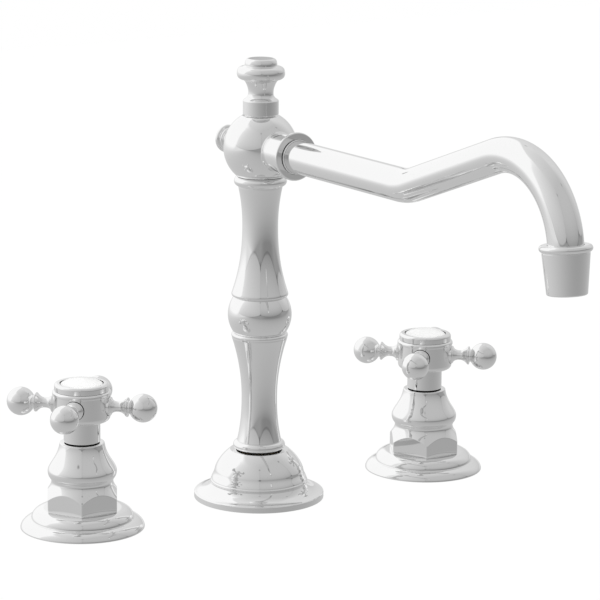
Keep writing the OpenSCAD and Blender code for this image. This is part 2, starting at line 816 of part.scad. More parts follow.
module bonnet() {
    bulge_in = bonnet_bulge_z - 2;
    color(chrome) difference() {
        intersection() {
            translate([0, 0, flange_h]) cylinder(r = hex_r, h = bonnet_h, $fn = 6);
            turned(concat(
                [[hex_r + 1.4, flange_h]],
                bend([hex_r + 0.35, hex_h - 0.6], [hex_r - 1.1, hex_h + 2.2],
                    [bonnet_neck_r, bonnet_neck_z - 2.6], [bonnet_neck_r, bonnet_neck_z], 8),
                bend([bonnet_neck_r + 0.05, bonnet_neck_z + 0.3], [bonnet_neck_r + 0.4, bonnet_neck_z + 1.6],
                    [bonnet_bulge_r, bulge_in - 0.9], [bonnet_bulge_r, bonnet_bulge_z], 8),
                bend([bonnet_bulge_r, bonnet_bulge_z + 0.4], [bonnet_bulge_r, bonnet_bulge_z + 4.6],
                    [bonnet_rim_r + 0.9, bonnet_h - 8.5], [bonnet_rim_r, bonnet_h - 0.7], 12),
                [[bonnet_rim_r - edge, bonnet_h]]
            ));
        }
        bore(bore_gap_r, flange_h - over, bonnet_step_z);
        bore(cartridge_neck_r + 2.2, bonnet_step_z - over, cartridge_mid_z + seat_gap);
        bore(cartridge_neck_r + seat_gap, cartridge_mid_z - over, bonnet_h + over);
    }
}

module cartridge() {
    color(brass) difference() {
        union() {
            bore(cartridge_r, cartridge_z, cartridge_flange_z + over);
            bore(valve_r - 0.4, cartridge_flange_z, cartridge_flange_z + cartridge_flange_t);
            bore(cartridge_neck_r + 2, cartridge_flange_z, cartridge_mid_z);
            bore(cartridge_neck_r, cartridge_mid_z - over, cartridge_top);
        }
        bore(cavity_r, cartridge_z - over, cavity_top);
        bore(spindle_r + run_gap, cavity_top - over, cartridge_top + over);
    }
}

// Two opposite ports through a ceramic disc, the first at angle a
module disc_ports(a, z, t) {
    wide = 34;
    for (i = [0, 1]) {
        rotate([0, 0, a + 180 * i]) translate([0, 0, z - over]) linear_extrude(t + 2 * over)
            polygon(concat(arc([0, 0], 1.6, -wide, wide, 4), arc([0, 0], disc_r - 2.2, wide, -wide, 8)));
    }
}

module fixed_disc() {
    color(ceramic) difference() {
        bore(disc_r, disc_z, disc_z + disc_t);
        disc_ports(0, disc_z, disc_t);
    }
}

module moving_disc() {
    color(ceramic) difference() {
        bore(moving_disc_r, moving_z, moving_z + disc_t);
        disc_ports(90, moving_z, disc_t);
    }
}

module seat_seal() {
    color(rubber) washer(disc_r - 0.3, inlet_bore_r + 0.6, cartridge_z - seal_t, seal_t + 0.2 - seat_gap);
}

module handle_glide_washer() {
    color(black) washer(handle_glide_r, cartridge_neck_r + 0.25, handle_glide_z, handle_glide_t);
}

// Handles

module spindle() {
    color(brass) difference() {
        union() {
            bore(spindle_r, foot_z + over, spindle_top);
            bore(moving_disc_r - 0.9, foot_z, foot_z + foot_t);
        }
        bore(screw_shank_r + seat_gap, spindle_top - 9, spindle_top + over);
    }
}

module handle_hub() {
    shoulder = 0.35;
    color(chrome) difference() {
        turned(concat(
            [[stem_r - edge, stem_z], [stem_r, stem_z + edge]],
            [[stem_r, handle_hub_z - 0.5], [stem_r + 0.5, handle_hub_z]],
            arc([handle_hub_r - handle_hub_round, handle_hub_z + handle_hub_round],
                handle_hub_round, -90, 0, 8),
            [[handle_hub_r, hub_top - 2], [handle_hub_r + shoulder, hub_top - 1.6]],
            [[handle_hub_r + shoulder, hub_top - 0.6], [handle_hub_r - 0.2, hub_top]]
        ));
        bore(stem_bore_r, stem_z - over, stem_bore_top);
        bore(spindle_r + seat_gap, stem_bore_top - over, spindle_top + seat_gap);
        bore(screw_shank_r + 0.3, spindle_top, recess_z + over);
        bore(recess_r, recess_z, hub_top + over);
        for (i = [0:3]) {
            at_arm(i) {
                bore(arm_neck_r + 0.1 + seat_gap, handle_hub_r - 5.4, handle_hub_r + over);
                bore(arm_root_r + arm_root_gap, handle_hub_r - 1.6, handle_hub_r + over);
            }
        }
    }
}

// Turns a solid that was drawn along Z to lie along arm number i
module at_arm(i) {
    translate([0, 0, arm_z]) rotate([0, 0, 45 + 90 * i]) rotate([0, 90, 0]) children();
}

module handle_arms() {
    root = handle_hub_r + 0.8;
    waist = root + 3.6;
    collar = arm_reach - arm_ball_r - 0.9;
    for (i = [0:3]) {
        color(chrome) at_arm(i) {
            turned(concat(
                [[arm_neck_r + 0.1, handle_hub_r - 5.2], [arm_neck_r + 0.1, handle_hub_r - 1.5]],
                [[arm_root_r, handle_hub_r - 1.5], [arm_root_r, root - 0.3], [arm_root_r - 0.3, root]],
                bend([arm_root_r - 0.6, root], [arm_neck_r + 0.1, root + 1], [arm_neck_r, waist - 1.2],
                    [arm_neck_r, waist], 6),
                bend([arm_neck_r, waist + 0.3], [arm_neck_r, waist + 2], [arm_collar_r - 1.2, collar - 1.2],
                    [arm_collar_r - 0.2, collar - 0.3], 6),
                [[arm_collar_r, collar], [arm_collar_r, collar + 0.4], [arm_neck_r + 0.7, collar + 0.8]],
                [[arm_neck_r + 0.7, arm_reach - arm_ball_r + over]]
            ));
            translate([0, 0, arm_reach]) sphere(r = arm_ball_r);
        }
    }
}

module handle_screw() {
    head_t = 2.8;
    color(steel) difference() {
        union() {
            bore(screw_shank_r, recess_z - screw_len, recess_z + over);
            bore(screw_head_r, recess_z, recess_z + head_t);
        }
        translate([0, 0, recess_z + 1]) cylinder(r = 1.9, h = head_t, $fn = 6);
    }
}

module cap_ring() {
    round_r = 1.3;
    color(chrome) difference() {
        union() {
            turned(concat(
                [[cap_r - edge, cap_z], [cap_r, cap_z + edge]],
                arc([cap_r - round_r, cap_top - round_r], round_r, 0, 90, 8)
            ));
            bore(recess_r - seat_gap, recess_z + 0.6, cap_z + over);
        }
        bore(recess_r - 1.3, recess_z - over, cap_top + over);
        bore(button_r + 0.1, button_z, cap_top + over);
    }
}

module button() {
    rim = button_z + button_t;
    color(porcelain) turned(concat(
        [[button_r, button_z], [button_r, rim - 0.3]],
        bend([button_r - 0.3, rim], [button_r - 2, rim + 0.45], [4, rim + 0.6], [0, rim + 0.6], 6)
    ));
}

spout_flange();
spout_gasket();
spout_shank();
spout_o_rings();
spout_glide_washer();
spout_tee();
deck_washer();  // spout_deck_washer
deck_nut();  // spout_deck_nut
lower_column();
set_screw();
middle_ball();
upper_column();
riser_tube();
hub_ball();
rear_plug();
tube_ring();
tube_ferrule();
spout_tube();
finial();
aerator_shell();
aerator_gasket();
aerator_insert();
aerator_screen();
at_valve(-1) valve_flange();  // hot_flange
at_valve(-1) valve_gasket();  // hot_gasket
at_valve(-1) valve_body();  // hot_valve_body
at_valve(-1) bonnet();  // hot_bonnet
at_valve(-1) cartridge();  // hot_cartridge
at_valve(-1) fixed_disc();  // hot_fixed_disc
at_valve(-1) seat_seal();  // hot_seat_seal
at_valve(-1) handle_glide_washer();  // hot_glide_washer
at_valve(-1) deck_washer();  // hot_deck_washer
at_valve(-1) deck_nut();  // hot_deck_nut
at_valve(-1) spindle();  // hot_spindle
at_valve(-1) moving_disc();  // hot_moving_disc
at_valve(-1) handle_hub();  // hot_handle_hub
at_valve(-1) handle_arms();  // hot_handle_arms
at_valve(-1) handle_screw();  // hot_handle_screw
at_valve(-1) cap_ring();  // hot_cap_ring
at_valve(-1) button();  // hot_button
at_valve(1) valve_flange();  // cold_flange
at_valve(1) valve_gasket();  // cold_gasket
at_valve(1) valve_body();  // cold_valve_body
at_valve(1) bonnet();  // cold_bonnet
at_valve(1) cartridge();  // cold_cartridge
at_valve(1) fixed_disc();  // cold_fixed_disc
at_valve(1) seat_seal();  // cold_seat_seal
at_valve(1) handle_glide_washer();  // cold_glide_washer
at_valve(1) deck_washer();  // cold_deck_washer
at_valve(1) deck_nut();  // cold_deck_nut
at_valve(1) spindle();  // cold_spindle
at_valve(1) moving_disc();  // cold_moving_disc
at_valve(1) handle_hub();  // cold_handle_hub
at_valve(1) handle_arms();  // cold_handle_arms
at_valve(1) handle_screw();  // cold_handle_screw
at_valve(1) cap_ring();  // cold_cap_ring
at_valve(1) button();  // cold_button
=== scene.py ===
import json
import math

import bpy
import numpy as np
from mathutils import Matrix, Vector


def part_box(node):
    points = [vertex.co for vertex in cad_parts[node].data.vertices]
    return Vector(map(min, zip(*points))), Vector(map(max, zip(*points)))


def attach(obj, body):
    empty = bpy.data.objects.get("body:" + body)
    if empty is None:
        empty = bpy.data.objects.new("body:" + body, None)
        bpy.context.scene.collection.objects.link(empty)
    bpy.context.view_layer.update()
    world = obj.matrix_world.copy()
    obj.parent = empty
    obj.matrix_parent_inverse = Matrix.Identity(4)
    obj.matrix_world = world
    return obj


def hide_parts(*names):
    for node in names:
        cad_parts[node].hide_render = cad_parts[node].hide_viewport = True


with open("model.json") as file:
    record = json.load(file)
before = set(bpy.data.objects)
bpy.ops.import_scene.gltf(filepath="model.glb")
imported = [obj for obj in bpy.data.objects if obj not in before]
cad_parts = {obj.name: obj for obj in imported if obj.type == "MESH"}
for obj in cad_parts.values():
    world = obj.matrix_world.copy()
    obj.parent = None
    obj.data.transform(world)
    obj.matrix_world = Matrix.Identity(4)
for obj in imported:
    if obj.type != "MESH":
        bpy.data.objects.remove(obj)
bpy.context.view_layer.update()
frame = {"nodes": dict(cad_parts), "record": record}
mm = 0.001


# levels up the faucet and the valves' distance, mm

level = {
    "collar": 24.86, "lower": 29.0, "lip": 84.5, "ball": 93.709, "skirt": 102.918, "neck": 157.818,
    "bead": 160.868, "hub": 177.468, "finial": 193.316, "valve": 101.6,
}


# camera: the photograph's viewpoint

photoCamera = {
    "target": (23.917, 0.0, 97.932),  # mm
    "distance": 1553.4,
    "azimuth": -33.559,
    "elevation": 12.458,
    "roll": 0.46,
    "lens": 186.23,
}


def placeCamera():
    a, e, r = (math.radians(photoCamera[k]) for k in ("azimuth", "elevation", "roll"))
    back = Vector((math.sin(a) * math.cos(e), -math.cos(a) * math.cos(e), math.sin(e)))
    right = Vector((0, 0, 1)).cross(back).normalized()
    up = back.cross(right)
    right, up = right * math.cos(r) + up * math.sin(r), up * math.cos(r) - right * math.sin(r)
    data = bpy.data.cameras.new("photoCamera")
    data.lens = photoCamera["lens"]
    data.sensor_width = 36
    data.clip_start, data.clip_end = 0.05, 20
    camera = bpy.data.objects.new("photoCamera", data)
    bpy.context.scene.collection.objects.link(camera)
    place = (Vector(photoCamera["target"]) + back * photoCamera["distance"]) * mm
    turn = Matrix((right, up, back)).transposed().to_4x4()
    camera.matrix_world = Matrix.Translation(place) @ turn
    bpy.context.scene.camera = camera


placeCamera()
print("camera placed")


# profiles: arrays of (radius, height) in mm

def arc(centre, radius, start, end, steps=12):
    # circle about the centre from one angle to the other
    t = np.radians(np.linspace(start, end, steps + 1))
    return np.stack([centre[0] + radius * np.cos(t), centre[1] + radius * np.sin(t)], 1)


def bend(p, q, r, s, steps=16):
    # cubic curve from p to s that leaves towards q and arrives from r
    t = np.linspace(0, 1, steps + 1)[:, None]
    p, q, r, s = (np.array(v, float) for v in (p, q, r, s))
    return (1 - t) ** 3 * p + 3 * (1 - t) ** 2 * t * q + 3 * (1 - t) * t * t * r + t ** 3 * s


def flare(z0, z1, r0, r1, power=2, steps=28):
    # radius grows from r0 with a power of the height gone
    t = np.linspace(0, 1, steps + 1)
    return np.stack([r0 + (r1 - r0) * t ** power, z0 + (z1 - z0) * t], 1)


def softened(points, radius=0.15, steps=5, sharp=17, closed=False):
    # each corner sharper than the limit becomes a short curve that starts and ends one radius away
    points = np.array(points, float)
    n = len(points)
    out = []
    for k in range(n):
        here = points[k]
        if not closed and k in (0, n - 1):
            out.append(here[None])
            continue
        inward, outward = points[k - 1] - here, points[(k + 1) % n] - here
        a, b = np.linalg.norm(inward), np.linalg.norm(outward)
        turn = 180 - math.degrees(math.acos(np.clip(inward @ outward / (a * b), -1, 1)))
        if turn < sharp:
            out.append(here[None])
            continue
        p, q = here + inward * min(radius / a, 0.45), here + outward * min(radius / b, 0.45)
        out.append(bend(p, (p + 2 * here) / 3, (q + 2 * here) / 3, q, steps))
    return np.concatenate(out)


def supported(profile, inset=0.06, shortest=0.5, longest=1.2):
    # straight stretches get a point close to each end and points between, so that shading stays flat
    rows = [profile[0]]
    for a, b in zip(profile[:-1], profile[1:]):
        span = np.linalg.norm(b - a)
        if span < 1e-6:
            continue
        if span > shortest:
            middle = np.linspace(inset / span, 1 - inset / span, max(2, int(span / longest) + 2))
            rows.extend(a + (b - a) * t for t in middle)
        rows.append(b)
    return np.array(rows)


# meshes

def gridQuads(rows, columns, closedRows, closedColumns, start=0):
    # index of row i, column j is i * columns + j; the last row or column may join the first
    i = np.arange(rows if closedRows else rows - 1)
    j = np.arange(columns if closedColumns else columns - 1)
    i, j = np.meshgrid(i, j, indexing="ij")
    a = i * columns + j
    b = i * columns + (j + 1) % columns
    c = (i + 1) % rows * columns + (j + 1) % columns
    d = (i + 1) % rows * columns + j
    return np.stack([a, b, c, d], -1).reshape(-1, 4) + start


def grid(points, closedRows=False, closedColumns=True):
    # surface from an array of rows x columns x 3; a row that is one point becomes a pole
    rows, columns = points.shape[:2]
    faces = gridQuads(rows, columns, closedRows, closedColumns)
    flat = points.reshape(-1, 3)
    if not closedRows:
        for end in (0, rows - 1):
            if np.ptp(points[end], axis=0).max() < 1e-9:
                faces = np.where(faces // columns == end, end * columns, faces)
    return flat, faces


def joined(*parts):
    # several surfaces as one list of points and faces
    points, faces, count = [], [], 0
    for p, f in parts:
        points.append(p)
        faces.append(f + count)
        count += len(p)
    return np.concatenate(points), np.concatenate(faces)


def moved(points, matrix):
    return points @ np.array(matrix.to_3x3()).T + np.array(matrix.translation)


def withoutDoubles(faces):
    # a quad with two neighbouring corners on one point becomes a triangle, and a thinner one goes
    same = faces == np.roll(faces, -1, axis=1)
    doubles = same.sum(1)
    lists = faces[doubles == 0].tolist()
    for k in range(4):
        lists += np.delete(faces[(doubles == 1) & same[:, k]], k, axis=1).tolist()
    return lists


def piece(name, shape, body, slotName, node, place=None):
    # one object at the origin whose mesh holds the place; mm become metres here
    points, faces = shape
    if place is not None:
        points = moved(points, place)
    used, inverse = np.unique(faces, return_inverse=True)
    faces = withoutDoubles(inverse.reshape(faces.shape))
    mesh = bpy.data.meshes.new(name)
    mesh.from_pydata((points[used] * mm).tolist(), [], faces)
    mesh.update()
    mesh.polygons.foreach_set("use_smooth", np.ones(len(faces), bool))
    mesh.materials.append(bySlot[slotName])
    made = bpy.data.objects.new(name, mesh)
    bpy.context.scene.collection.objects.link(made)
    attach(made, body)
    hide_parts(node)


def turned(profile, segments=160, closed=False):
    # profile carried round the Z axis: (r cos u, r sin u, z)
    profile = np.asarray(profile, float)
    if closed:
        profile = np.concatenate([profile, profile[:1]])
    profile = supported(profile)
    if closed:
        profile = profile[:-1]
    u = np.linspace(0, 2 * np.pi, segments, endpoint=False)
    r, z = profile[:, :1], profile[:, 1:]
    points = np.stack([r * np.cos(u), r * np.sin(u), z + 0 * u], -1)
    return grid(points, closedRows=closed)


def spun(degrees, axis):
    return Matrix.Rotation(math.radians(degrees), 4, axis)


def alongSpout():
    # Z becomes -Y from the hub's centre
    return Matrix.Translation((0, 0, level["hub"])) @ spun(90, "X")


# shaders: arithmetic on values adds Math nodes

class Value:
    # one output of a node
    def __init__(self, nodes, socket):
        self.nodes, self.socket = nodes, socket

    def math(self, operation, *others):
        return self.nodes.add("ShaderNodeMath", {"operation": operation}, (self,) + others)

    def __add__(self, other):
        return self.math("ADD", other)

    __radd__ = __add__

    def __mul__(self, other):
        return self.math("MULTIPLY", other)

    __rmul__ = __mul__

    def __sub__(self, other):
        return self.math("SUBTRACT", other)

    def __rsub__(self, other):
        return self * -1 + other

    def __truediv__(self, other):
        return self.math("DIVIDE", other)

    def __rtruediv__(self, other):
        return self ** -1 * other

    def __pow__(self, power):
        return self.math("POWER", power)

    def __neg__(self):
        return self * -1

    def __abs__(self):
        return self.math("ABSOLUTE")

    def __gt__(self, other):
        return self.math("GREATER_THAN", other)

    def __lt__(self, other):
        return self.math("LESS_THAN", other)

    def most(self, other):
        return self.math("MAXIMUM", other)

    def least(self, other):
        return self.math("MINIMUM", other)

    def rising(self, start, end, low=0.0, high=1.0):
        # smooth step from low to high as the value goes from start to end
        return self.nodes.add("ShaderNodeMapRange", {"interpolation_type": "SMOOTHSTEP"},
                              {"Value": self, "From Min": start, "From Max": end, "To Min": low, "To Max": high})


class Nodes:
    # the node tree of one finish
    def __init__(self, tree):
        self.tree = tree
        tree.nodes.clear()

    def add(self, kind, settings=None, inputs=(), output=0):
        node = self.tree.nodes.new(kind)
        for key, value in (settings or {}).items():
            setattr(node, key, value)
        for key, value in inputs.items() if isinstance(inputs, dict) else enumerate(inputs):
            if isinstance(value, Value):
                self.tree.links.new(value.socket, node.inputs[key])
            else:
                node.inputs[key].default_value = value
        return Value(self, node.outputs[output]) if len(node.outputs) else node

    def place(self):
        return self.add("ShaderNodeTexCoord", output="Object")

    def parts(self, vector):
        return [self.add("ShaderNodeSeparateXYZ", inputs=(vector,), output=k) for k in range(3)]

    def stretched(self, vector, scale):
        return self.add("ShaderNodeMapping", inputs={"Vector": vector, "Scale": scale})

    def noise(self, vector, scale, detail=2.0, roughness=0.5):
        return self.add("ShaderNodeTexNoise", inputs={"Vector": vector, "Scale": scale, "Detail": detail,
                                                       "Roughness": roughness})

    def mixed(self, factor, first, second):
        # colour between two colours
        return self.add("ShaderNodeMix", {"data_type": "RGBA"}, {0: factor, 6: first, 7: second}, 2)

    def bump(self, height, distance, strength=1.0):
        return self.add("ShaderNodeBump", inputs={"Height": height, "Distance": distance, "Strength": strength})

    def surface(self, colour, roughness, normal, metallic=0.0, gloss=0.5):
        shader = self.add("ShaderNodeBsdfPrincipled", inputs={"Base Color": colour, "Roughness": roughness,
                                                             "Normal": normal, "Metallic": metallic,
                                                             "Specular IOR Level": gloss})
        self.add("ShaderNodeOutputMaterial", inputs={"Surface": shader})


def finish(name, recipe):
    material = bpy.data.materials.new(name)
    material.use_nodes = True
    recipe(Nodes(material.node_tree))
    return material


def grey(shown):
    # linear value of a display grey from 0 to 255
    v = shown / 255
    return v / 12.92 if v <= 0.04045 else ((v + 0.055) / 1.055) ** 2.4


def colour(red, green, blue):
    return (grey(red), grey(green), grey(blue), 1)


def polishedChrome(nodes):
    # mirror plating: hardly any roughness, with faint wiping marks and a trace of the polishing wheel
    where = nodes.place()
    wiped = nodes.noise(nodes.stretched(where, (1, 1, 0.35)), 55, 3).rising(0.45, 0.75)
    fine = nodes.noise(where, 900, 2)
    nodes.surface((0.9, 0.9, 0.9, 1), 0.035 + 0.02 * wiped + 0.01 * fine,
                  nodes.bump(nodes.noise(where, 160, 2), 0.00002, 0.12), 1.0)


def glazedPorcelain(nodes):
    # white glaze over a white body, with a faint mottling and a soft waviness in the glaze; painted shade: a
    # near-black line where the distance from the valve's axis comes near the button's radius, standing in for the
    # shadow in the gap between the button and the cap ring
    where = nodes.place()
    x, y = nodes.parts(where)[:2]
    fromAxis = ((abs(x) - level["valve"] * mm) ** 2 + y * y) ** 0.5
    cloud = nodes.noise(where, 220, 3)
    white = nodes.mixed(cloud, colour(252, 252, 252), colour(248, 248, 247))
    # painted shade: the button's outer edge and side turn near black for the shadow in the gap round the button
    nodes.surface(nodes.mixed(fromAxis.rising(0.01015, 0.01025), white, (0.012, 0.012, 0.012, 1)),
                  0.09 + 0.05 * nodes.noise(where, 500, 2), nodes.bump(nodes.noise(where, 90, 1), 0.00003, 0.12))


def turnedBrass(nodes):
    # lathe lines run round the vertical axis; cloudy tarnish between them
    where = nodes.place()
    lines = nodes.noise(nodes.stretched(where, (0.02, 0.02, 1)), 5200, 3, 0.6)
    tarnish = nodes.noise(where, 90, 5, 0.6).rising(0.42, 0.7)
    nodes.surface(nodes.mixed(tarnish, (0.78, 0.57, 0.27, 1), (0.6, 0.41, 0.2, 1)),
                  0.22 + 0.16 * tarnish + 0.1 * lines, nodes.bump(lines, 0.00004, 0.35), 1.0)


def zincSteel(nodes):
    # cold-rolled sheet and screws with a thin zinc coat: fine grain and pale blotches
    where = nodes.place()
    grain = nodes.noise(nodes.stretched(where, (1, 0.06, 1)), 2600, 3, 0.6)
    blotch = nodes.noise(where, 240, 4, 0.6)
    nodes.surface(nodes.mixed(blotch, (0.62, 0.64, 0.66, 1), (0.5, 0.52, 0.55, 1)), 0.26 + 0.18 * grain,
                  nodes.bump(grain, 0.00003, 0.3), 1.0)


def mouldedRubber(nodes):
    where = nodes.place()
    grain = nodes.noise(where, 3200, 4, 0.65)
    dust = nodes.noise(where, 260, 3).rising(0.5, 0.8)
    nodes.surface(nodes.mixed(dust, (0.018, 0.018, 0.019, 1), (0.045, 0.044, 0.043, 1)), 0.62 + 0.2 * dust,
                  nodes.bump(grain, 0.00005, 0.5))


def blackNylon(nodes):
    where = nodes.place()
    grain = nodes.noise(where, 2400, 3)
    nodes.surface(nodes.mixed(nodes.noise(where, 300, 2), (0.002, 0.002, 0.002, 1), (0.004, 0.004, 0.004, 1)),
                  0.55 + 0.15 * grain, nodes.bump(grain, 0.00002, 0.4), gloss=0.1)


def milkyNylon(nodes):
    where = nodes.place()
    flow = nodes.noise(nodes.stretched(where, (1, 1, 0.3)), 420, 3)
    nodes.surface(nodes.mixed(flow, (0.78, 0.78, 0.75, 1), (0.68, 0.68, 0.66, 1)),
                  0.34 + 0.15 * nodes.noise(where, 1500, 2), nodes.bump(flow, 0.00002, 0.4))


def lappedCeramic(nodes):
    where = nodes.place()
    pores = nodes.noise(where, 2600, 3).rising(0.62, 0.72)
    nodes.surface(nodes.mixed(pores, (0.84, 0.82, 0.77, 1), (0.62, 0.6, 0.56, 1)),
                  0.18 + 0.2 * nodes.noise(where, 700, 3), nodes.bump(pores * -1, 0.00002, 0.4))


recipes = {"chrome": polishedChrome, "porcelain": glazedPorcelain, "brass": turnedBrass, "steel": zincSteel,
           "rubber": mouldedRubber, "black_plastic": blackNylon, "white_plastic": milkyNylon,
           "ceramic": lappedCeramic}
bySlot = {slot: finish(recipe.__name__, recipe) for slot, recipe in recipes.items()}
print("finishes made")


# studio: a pale room that the plating mirrors, on a white ground

room = {
    "fill": 0.78,             # plain light on matt and glazed surfaces
    "plating": 0.9,           # share of light that the plating gives back
    "turn": -132,             # degrees from the camera's side to the middle of the bright wall
    "bright": 247,            # greys as seen in the plating
    "brightEnds": (1.0, 1.22),  # half widths to the left and right, and heights, as shares of its distance
    "brightFoot": -0.06,
    "brightTop": 1.8,
    "line": 42,               # how much darker the joints between walls and ground are
    "corners": (-88, 3, 95),
    "leftWall": (219, 188),   # at its two corners
    "glow": (26, 16),         # lighter by the first corner, and the degrees in which that fades
    "footShade": (20, 25),    # darker at the foot of every wall, and more so on the near one
    "nearWall": 186,
    "rightWall": (187, 211),
    "floor": (183, 6.1),      # below, and the change for each unit of distance towards the bright wall
    "ceiling": (202, 33),
    "floorDepth": -0.15,      # mm
    "floorHalf": 1500.0,
    "floorLight": 1.02,
    "lampPower": 9.0,
    "lampSize": 1.4,
    "lampPlace": (-0.5, -0.6, 1.5),
    "lampAim": (0, -0.1, 0.1),
}


def across(turnDegrees):
    # level direction at an angle to the photograph's right of the camera's side
    a, t = math.radians(photoCamera["azimuth"]), math.radians(turnDegrees)
    front, side = (math.sin(a), -math.cos(a)), (math.cos(a), math.sin(a))
    return tuple(f * math.cos(t) + s * math.sin(t) for f, s in zip(front, side)) + (0,)


def seenDirectly(nodes):
    # camera rays alone, and camera, glossy and transmission rays together
    rays = [nodes.add("ShaderNodeLightPath", output=k)
            for k in ("Is Camera Ray", "Is Glossy Ray", "Is Transmission Ray")]
    return rays[0], rays[0].most(rays[1]).most(rays[2])


def makeRoom():
    # greys are worked out as they show on screen from the direction alone, and turned into light at the end
    world = bpy.data.worlds.new("studioRoom")
    world.use_nodes = True
    nodes = Nodes(world.node_tree)
    way = nodes.add("ShaderNodeTexCoord", output="Generated")

    def along(direction):
        return nodes.add("ShaderNodeVectorMath", {"operation": "DOT_PRODUCT"}, (way, direction), 1)

    front, side = along(across(0)), along(across(90))
    turn = side.math("ARCTAN2", front) * (180 / math.pi)
    turn = turn + 360 * (turn < room["turn"])
    up = nodes.parts(way)[2]
    flatLength = (front * front + side * side) ** 0.5
    height = up / flatLength.most(0.001)
    leftCorner, nearCorner, rightCorner = room["corners"]
    onRight = turn.rising(rightCorner - 2, rightCorner + 2)
    onNear = turn.rising(nearCorner - 2, nearCorner + 2) * (1 - onRight)
    onLeft = 1 - turn.rising(nearCorner - 2, nearCorner + 2)
    far, near = room["leftWall"]
    lift, fade = room["glow"]
    glow = lift * (-(turn - leftCorner).most(0) / fade).math("EXPONENT")
    leftLevel = far + (near - far) / (nearCorner - leftCorner) * (turn - leftCorner).most(0) + glow
    near, far = room["rightWall"]
    rightLevel = turn.rising(rightCorner, 140, near, far) + turn.rising(160, 180, 0, 6)
    foot = (-(height.most(-0.02)) / 0.22).math("EXPONENT")
    shade, nearShade = room["footShade"]
    wall = onLeft * leftLevel + onNear * room["nearWall"] + onRight * rightLevel
    wall = wall - foot * (shade + nearShade * onNear)
    a, b = along(across(room["turn"])), along(across(room["turn"] + 90))
    below, slope = room["floor"]
    away = -a / (-up).most(0.01)
    ground = below - slope * away.least(6).most(-6) - 18 * (-a).rising(0.7, 0.97) * away.rising(5, 9.5)
    over, slope = room["ceiling"]
    above = (over + slope * (a / up.most(0.05)).least(1).most(-1)).most(room["nearWall"])
    reach, least = abs(a).most(abs(b)).most(0.001), abs(a).least(abs(b))
    corner = least / reach
    footLine = up / reach - (0.22 * corner * corner - 0.025)
    plain = wall + (ground - wall) * footLine.rising(0.01, -0.01)
    # joints: upright lines at the corners, a line at the foot, and dots where corners meet floor and ceiling
    joints = 0.2 * corner.rising(0.955, 0.985) * (side > 0) * (footLine > 0) * height.rising(1.4, 1.2)
    joints = joints.most(0.4 * abs(footLine).rising(0.022, 0.006) * (front > -0.3))
    atCorner = corner.rising(0.86, 0.97)
    joints = joints.most(atCorner * abs(footLine).rising(0.09, 0.02))
    joints = joints.most(atCorner * abs(height - 1.28).rising(0.12, 0.03))
    plain = plain - room["line"] * joints
    plain = plain + (above - plain) * height.rising(1.5, 2.1)
    left, right = room["brightEnds"]
    s = b / a.most(0.05)
    u = (s / right).most(-s / left)
    top = room["brightTop"] + 0.25 * s.least(1).most(-1)
    middle, half = 0.5 * (top + room["brightFoot"]), 0.5 * (top - room["brightFoot"])
    v = abs(up / a.most(0.05) - middle) / half
    power = 2.5 + 2.5 * (s > 0)  # the left end is rounder
    edge = (u.most(0.01) ** power + v.most(0.01) ** power) ** (1 / power)
    shown = plain + (room["bright"] - plain) * edge.rising(1.13, 0.93) * (a > 0)
    shown = (shown * (1 / 255 / 1.055) + 0.055 / 1.055) ** 2.4 / room["plating"]
    camera, seen = seenDirectly(nodes)
    strength = seen * (camera + (1 - camera) * shown) + (1 - seen) * room["fill"]
    light = nodes.add("ShaderNodeBackground", inputs={"Color": (1, 1, 1, 1), "Strength": strength})
    nodes.add("ShaderNodeOutputWorld", inputs={"Surface": light})
    bpy.context.scene.world = world


def paleFloor(nodes):
    # the camera sees white ground that keeps a faint shadow; from below it is clear
    matt = nodes.add("ShaderNodeBsdfPrincipled", inputs={"Base Color": (0.85, 0.85, 0.85, 1), "Roughness": 1.0,
                                                        "Specular IOR Level": 0.0})
    white = nodes.add("ShaderNodeEmission", inputs={"Color": (1, 1, 1, 1), "Strength": room["floorLight"]})
    ground = nodes.add("ShaderNodeMixShader", inputs=(0.95 * seenDirectly(nodes)[1], matt, white))
    under = nodes.add("ShaderNodeBsdfTransparent")
    backwards = nodes.add("ShaderNodeNewGeometry", output="Backfacing")
    nodes.add("ShaderNodeOutputMaterial",
              inputs={"Surface": nodes.add("ShaderNodeMixShader", inputs=(backwards, ground, under))})


def makeStudio():
    spread = np.linspace(-room["floorHalf"], room["floorHalf"], 25)
    x, y = np.meshgrid(spread, spread)
    flat, faces = grid(np.stack([x, y, 0 * x + room["floorDepth"]], -1), closedColumns=False)
    mesh = bpy.data.meshes.new("paleFloor")
    mesh.from_pydata((flat * mm).tolist(), [], faces.tolist())
    mesh.materials.append(finish("paleFloor", paleFloor))
    floor = bpy.data.objects.new("paleFloor", mesh)
    floor.visible_glossy = False  # the plating mirrors the room's own ground
    bpy.context.scene.collection.objects.link(floor)
    data = bpy.data.lights.new("softLamp", "AREA")
    data.shape, data.size = "DISK", room["lampSize"]
    data.energy = room["lampPower"]
    lamp = bpy.data.objects.new("softLamp", data)
    lamp.location = room["lampPlace"]
    lamp.rotation_euler = (Vector(room["lampAim"]) - lamp.location).to_track_quat("-Z", "Y").to_euler()
    lamp.visible_glossy = False
    bpy.context.scene.collection.objects.link(lamp)


makeRoom()
makeStudio()
bpy.context.scene.view_settings.view_transform = "Standard"
print("studio made")


riserR, tubeR, tubeBore, clearance = 5.94, 8.0, 8.04, 0.04


def column(*stretches):
    # stretches of an outline one after the other
    return np.concatenate([np.atleast_2d(np.asarray(s, float)) for s in stretches])


def ringed(outer, inner, radius=0.12, segments=160):
    # closed outline: up the outside, down the inside, corners softened, then turned
    return turned(softened(column(outer, inner), radius, closed=True), segments, closed=True)


# base flange of the spout

